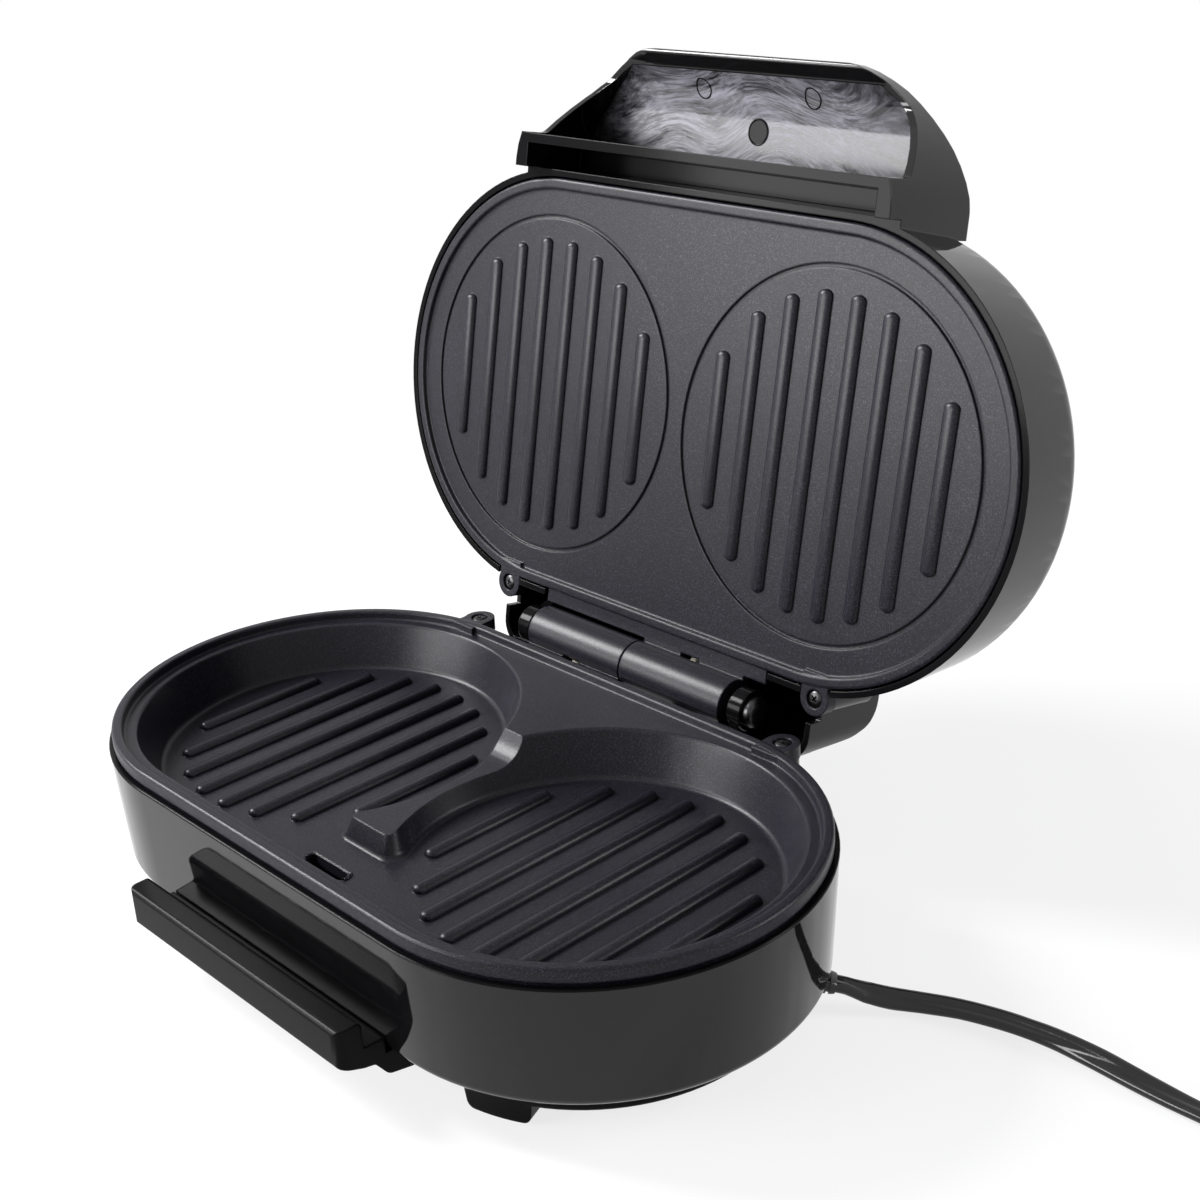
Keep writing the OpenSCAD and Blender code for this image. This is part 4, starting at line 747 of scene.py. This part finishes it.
# %% Ejector marks
ceiling = bmesh.new()
ceiling.from_mesh(shell.data)
bmesh.ops.transform(ceiling, matrix=lid_matrix.inverted(), verts=ceiling.verts)
tree_of_shell = BVHTree.FromBMesh(ceiling)
ceiling.free()
MARKS = ((0, -90, 4.0), (22.5, -101.5, 3.0), (-22.5, -101.5, 3.0))
RING_R, PROBE_Z, DISC_R, DISC_DEPTH = 0.24, 66.0, 3.9, 0.16


def ceiling_z(point):
    """Height of the shell's ceiling above a point."""
    start = Vector((point.x, point.y, PROBE_Z))
    return tree_of_shell.ray_cast(start, Vector((0, 0, 1)))[0].z


bm = bmesh.new()
for x, y, radius in MARKS:
    held = len(bm.verts)
    stand = Matrix.Translation((x + radius, y, PROBE_Z)) @ Matrix.Rotation(math.radians(90), 4, "X")
    wire = bmesh.ops.create_circle(bm, segments=10, radius=RING_R, matrix=stand)["verts"]
    wire += list({e for v in wire for e in v.link_edges})
    bmesh.ops.spin(bm, geom=wire, cent=(x, y, PROBE_Z), axis=(0, 0, 1), dvec=(0, 0, 0),
                   angle=2 * math.pi, steps=48, use_merge=True, use_duplicate=False)
    bm.verts.ensure_lookup_table()
    for vert in bm.verts[held:]:
        vert.co.z += ceiling_z(vert.co) - PROBE_Z
disc = bmesh.ops.create_cone(bm, cap_ends=True, segments=48, radius1=DISC_R, radius2=DISC_R,
                             depth=DISC_DEPTH, matrix=Matrix.Translation((*MARKS[0][:2], 0)))
for vert in disc["verts"]:
    vert.co.z += ceiling_z(vert.co)
finish_piece(bm, "ejector_marks", "lid", "dull_gloss_and_painted_shade", (), lid_matrix, sharp=60)

# %% [markdown]
# ## Floor, light and background
# The photograph is a studio shot on white. A pale floor catches the soft shadow, and three soft
# boxes and the white room give the shell its long, quiet highlights. The floor is plain white to
# the camera near its edges, and matt under the object.

# %% Floor
bm = bmesh.new()
bmesh.ops.create_grid(bm, x_segments=2, y_segments=2, size=3.0)
sheet = bpy.data.meshes.new("floor")
bm.to_mesh(sheet)
bm.free()
floor = bpy.data.objects.new("floor", sheet)
floor.location.z = -0.0005
bpy.context.scene.collection.objects.link(floor)
pale = bpy.data.materials.new("pale_floor")
pale.use_nodes = True
tree = pale.node_tree
tree.nodes.clear()
path = node(tree, "ShaderNodeLightPath")
seen = node(tree, "ShaderNodeMath",
            [(0, path.outputs["Is Camera Ray"]), (1, path.outputs["Is Glossy Ray"])],
            operation="MAXIMUM")
spot = node(tree, "ShaderNodeTexGradient", gradient_type="SPHERICAL")
where = node(tree, "ShaderNodeTexCoord").outputs["Object"]
spread = node(tree, "ShaderNodeMapping", [("Vector", where)])
spread.inputs["Scale"].default_value = (1.9, 1.9, 1.9)
tree.links.new(spread.outputs[0], spot.inputs["Vector"])
share = mapped(tree, spot.outputs["Fac"], (0.0, 0.6, 1.0, 0.78))
most = node(tree, "ShaderNodeMath", [(0, seen.outputs[0]), (1, share)], operation="MULTIPLY")
matt = node(tree, "ShaderNodeBsdfDiffuse")
matt.inputs["Color"].default_value = (0.92, 0.92, 0.92, 1)
white = node(tree, "ShaderNodeEmission")
white.inputs["Color"].default_value = (1, 1, 1, 1)
blend = node(tree, "ShaderNodeMixShader",
             [(0, most.outputs[0]), (1, matt.outputs[0]), (2, white.outputs[0])])
node(tree, "ShaderNodeOutputMaterial", [("Surface", blend.outputs[0])])
sheet.materials.append(pale)


# %% Lamps
def soft_box(name, place, aim, width, height, watts):
    lamp = bpy.data.lights.new(name, "AREA")
    lamp.shape, lamp.size, lamp.size_y, lamp.energy = "RECTANGLE", width, height, watts
    box = bpy.data.objects.new(name, lamp)
    box.location = place
    box.rotation_euler = (Vector(place) - Vector(aim)).to_track_quat("Z", "Y").to_euler()
    bpy.context.scene.collection.objects.link(box)


soft_box("front_box", (-0.6, -1.15, 0.42), (0, 0, 0.12), 0.9, 0.45, 19)
soft_box("top_box", (-0.87, -0.47, 0.84), (0, 0, 0.08), 0.35, 0.6, 31)
soft_box("back_box", (0.95, 0.75, 0.6), (0, 0, 0.12), 0.35, 0.7, 9)

# %% Room
room = bpy.data.worlds.new("room")
room.use_nodes = True
bpy.context.scene.world = room
tree = room.node_tree
tree.nodes.clear()
path = node(tree, "ShaderNodeLightPath")
seen = node(tree, "ShaderNodeMath",
            [(0, path.outputs["Is Camera Ray"]), (1, path.outputs["Is Transmission Ray"])],
            operation="MAXIMUM")
seen = node(tree, "ShaderNodeMath", [(0, seen.outputs[0]), (1, path.outputs["Is Glossy Ray"])],
            operation="MAXIMUM")
lit = node(tree, "ShaderNodeBackground")
lit.inputs["Color"].default_value = (0.9, 0.92, 0.95, 1)
lit.inputs["Strength"].default_value = 0.32
white = node(tree, "ShaderNodeBackground")
white.inputs["Color"].default_value = (1, 1, 1, 1)
pick = node(tree, "ShaderNodeMixShader",
            [(0, seen.outputs[0]), (1, lit.outputs[0]), (2, white.outputs[0])])
node(tree, "ShaderNodeOutputWorld", [("Surface", pick.outputs[0])])
bpy.context.scene.view_settings.view_transform = "Standard"
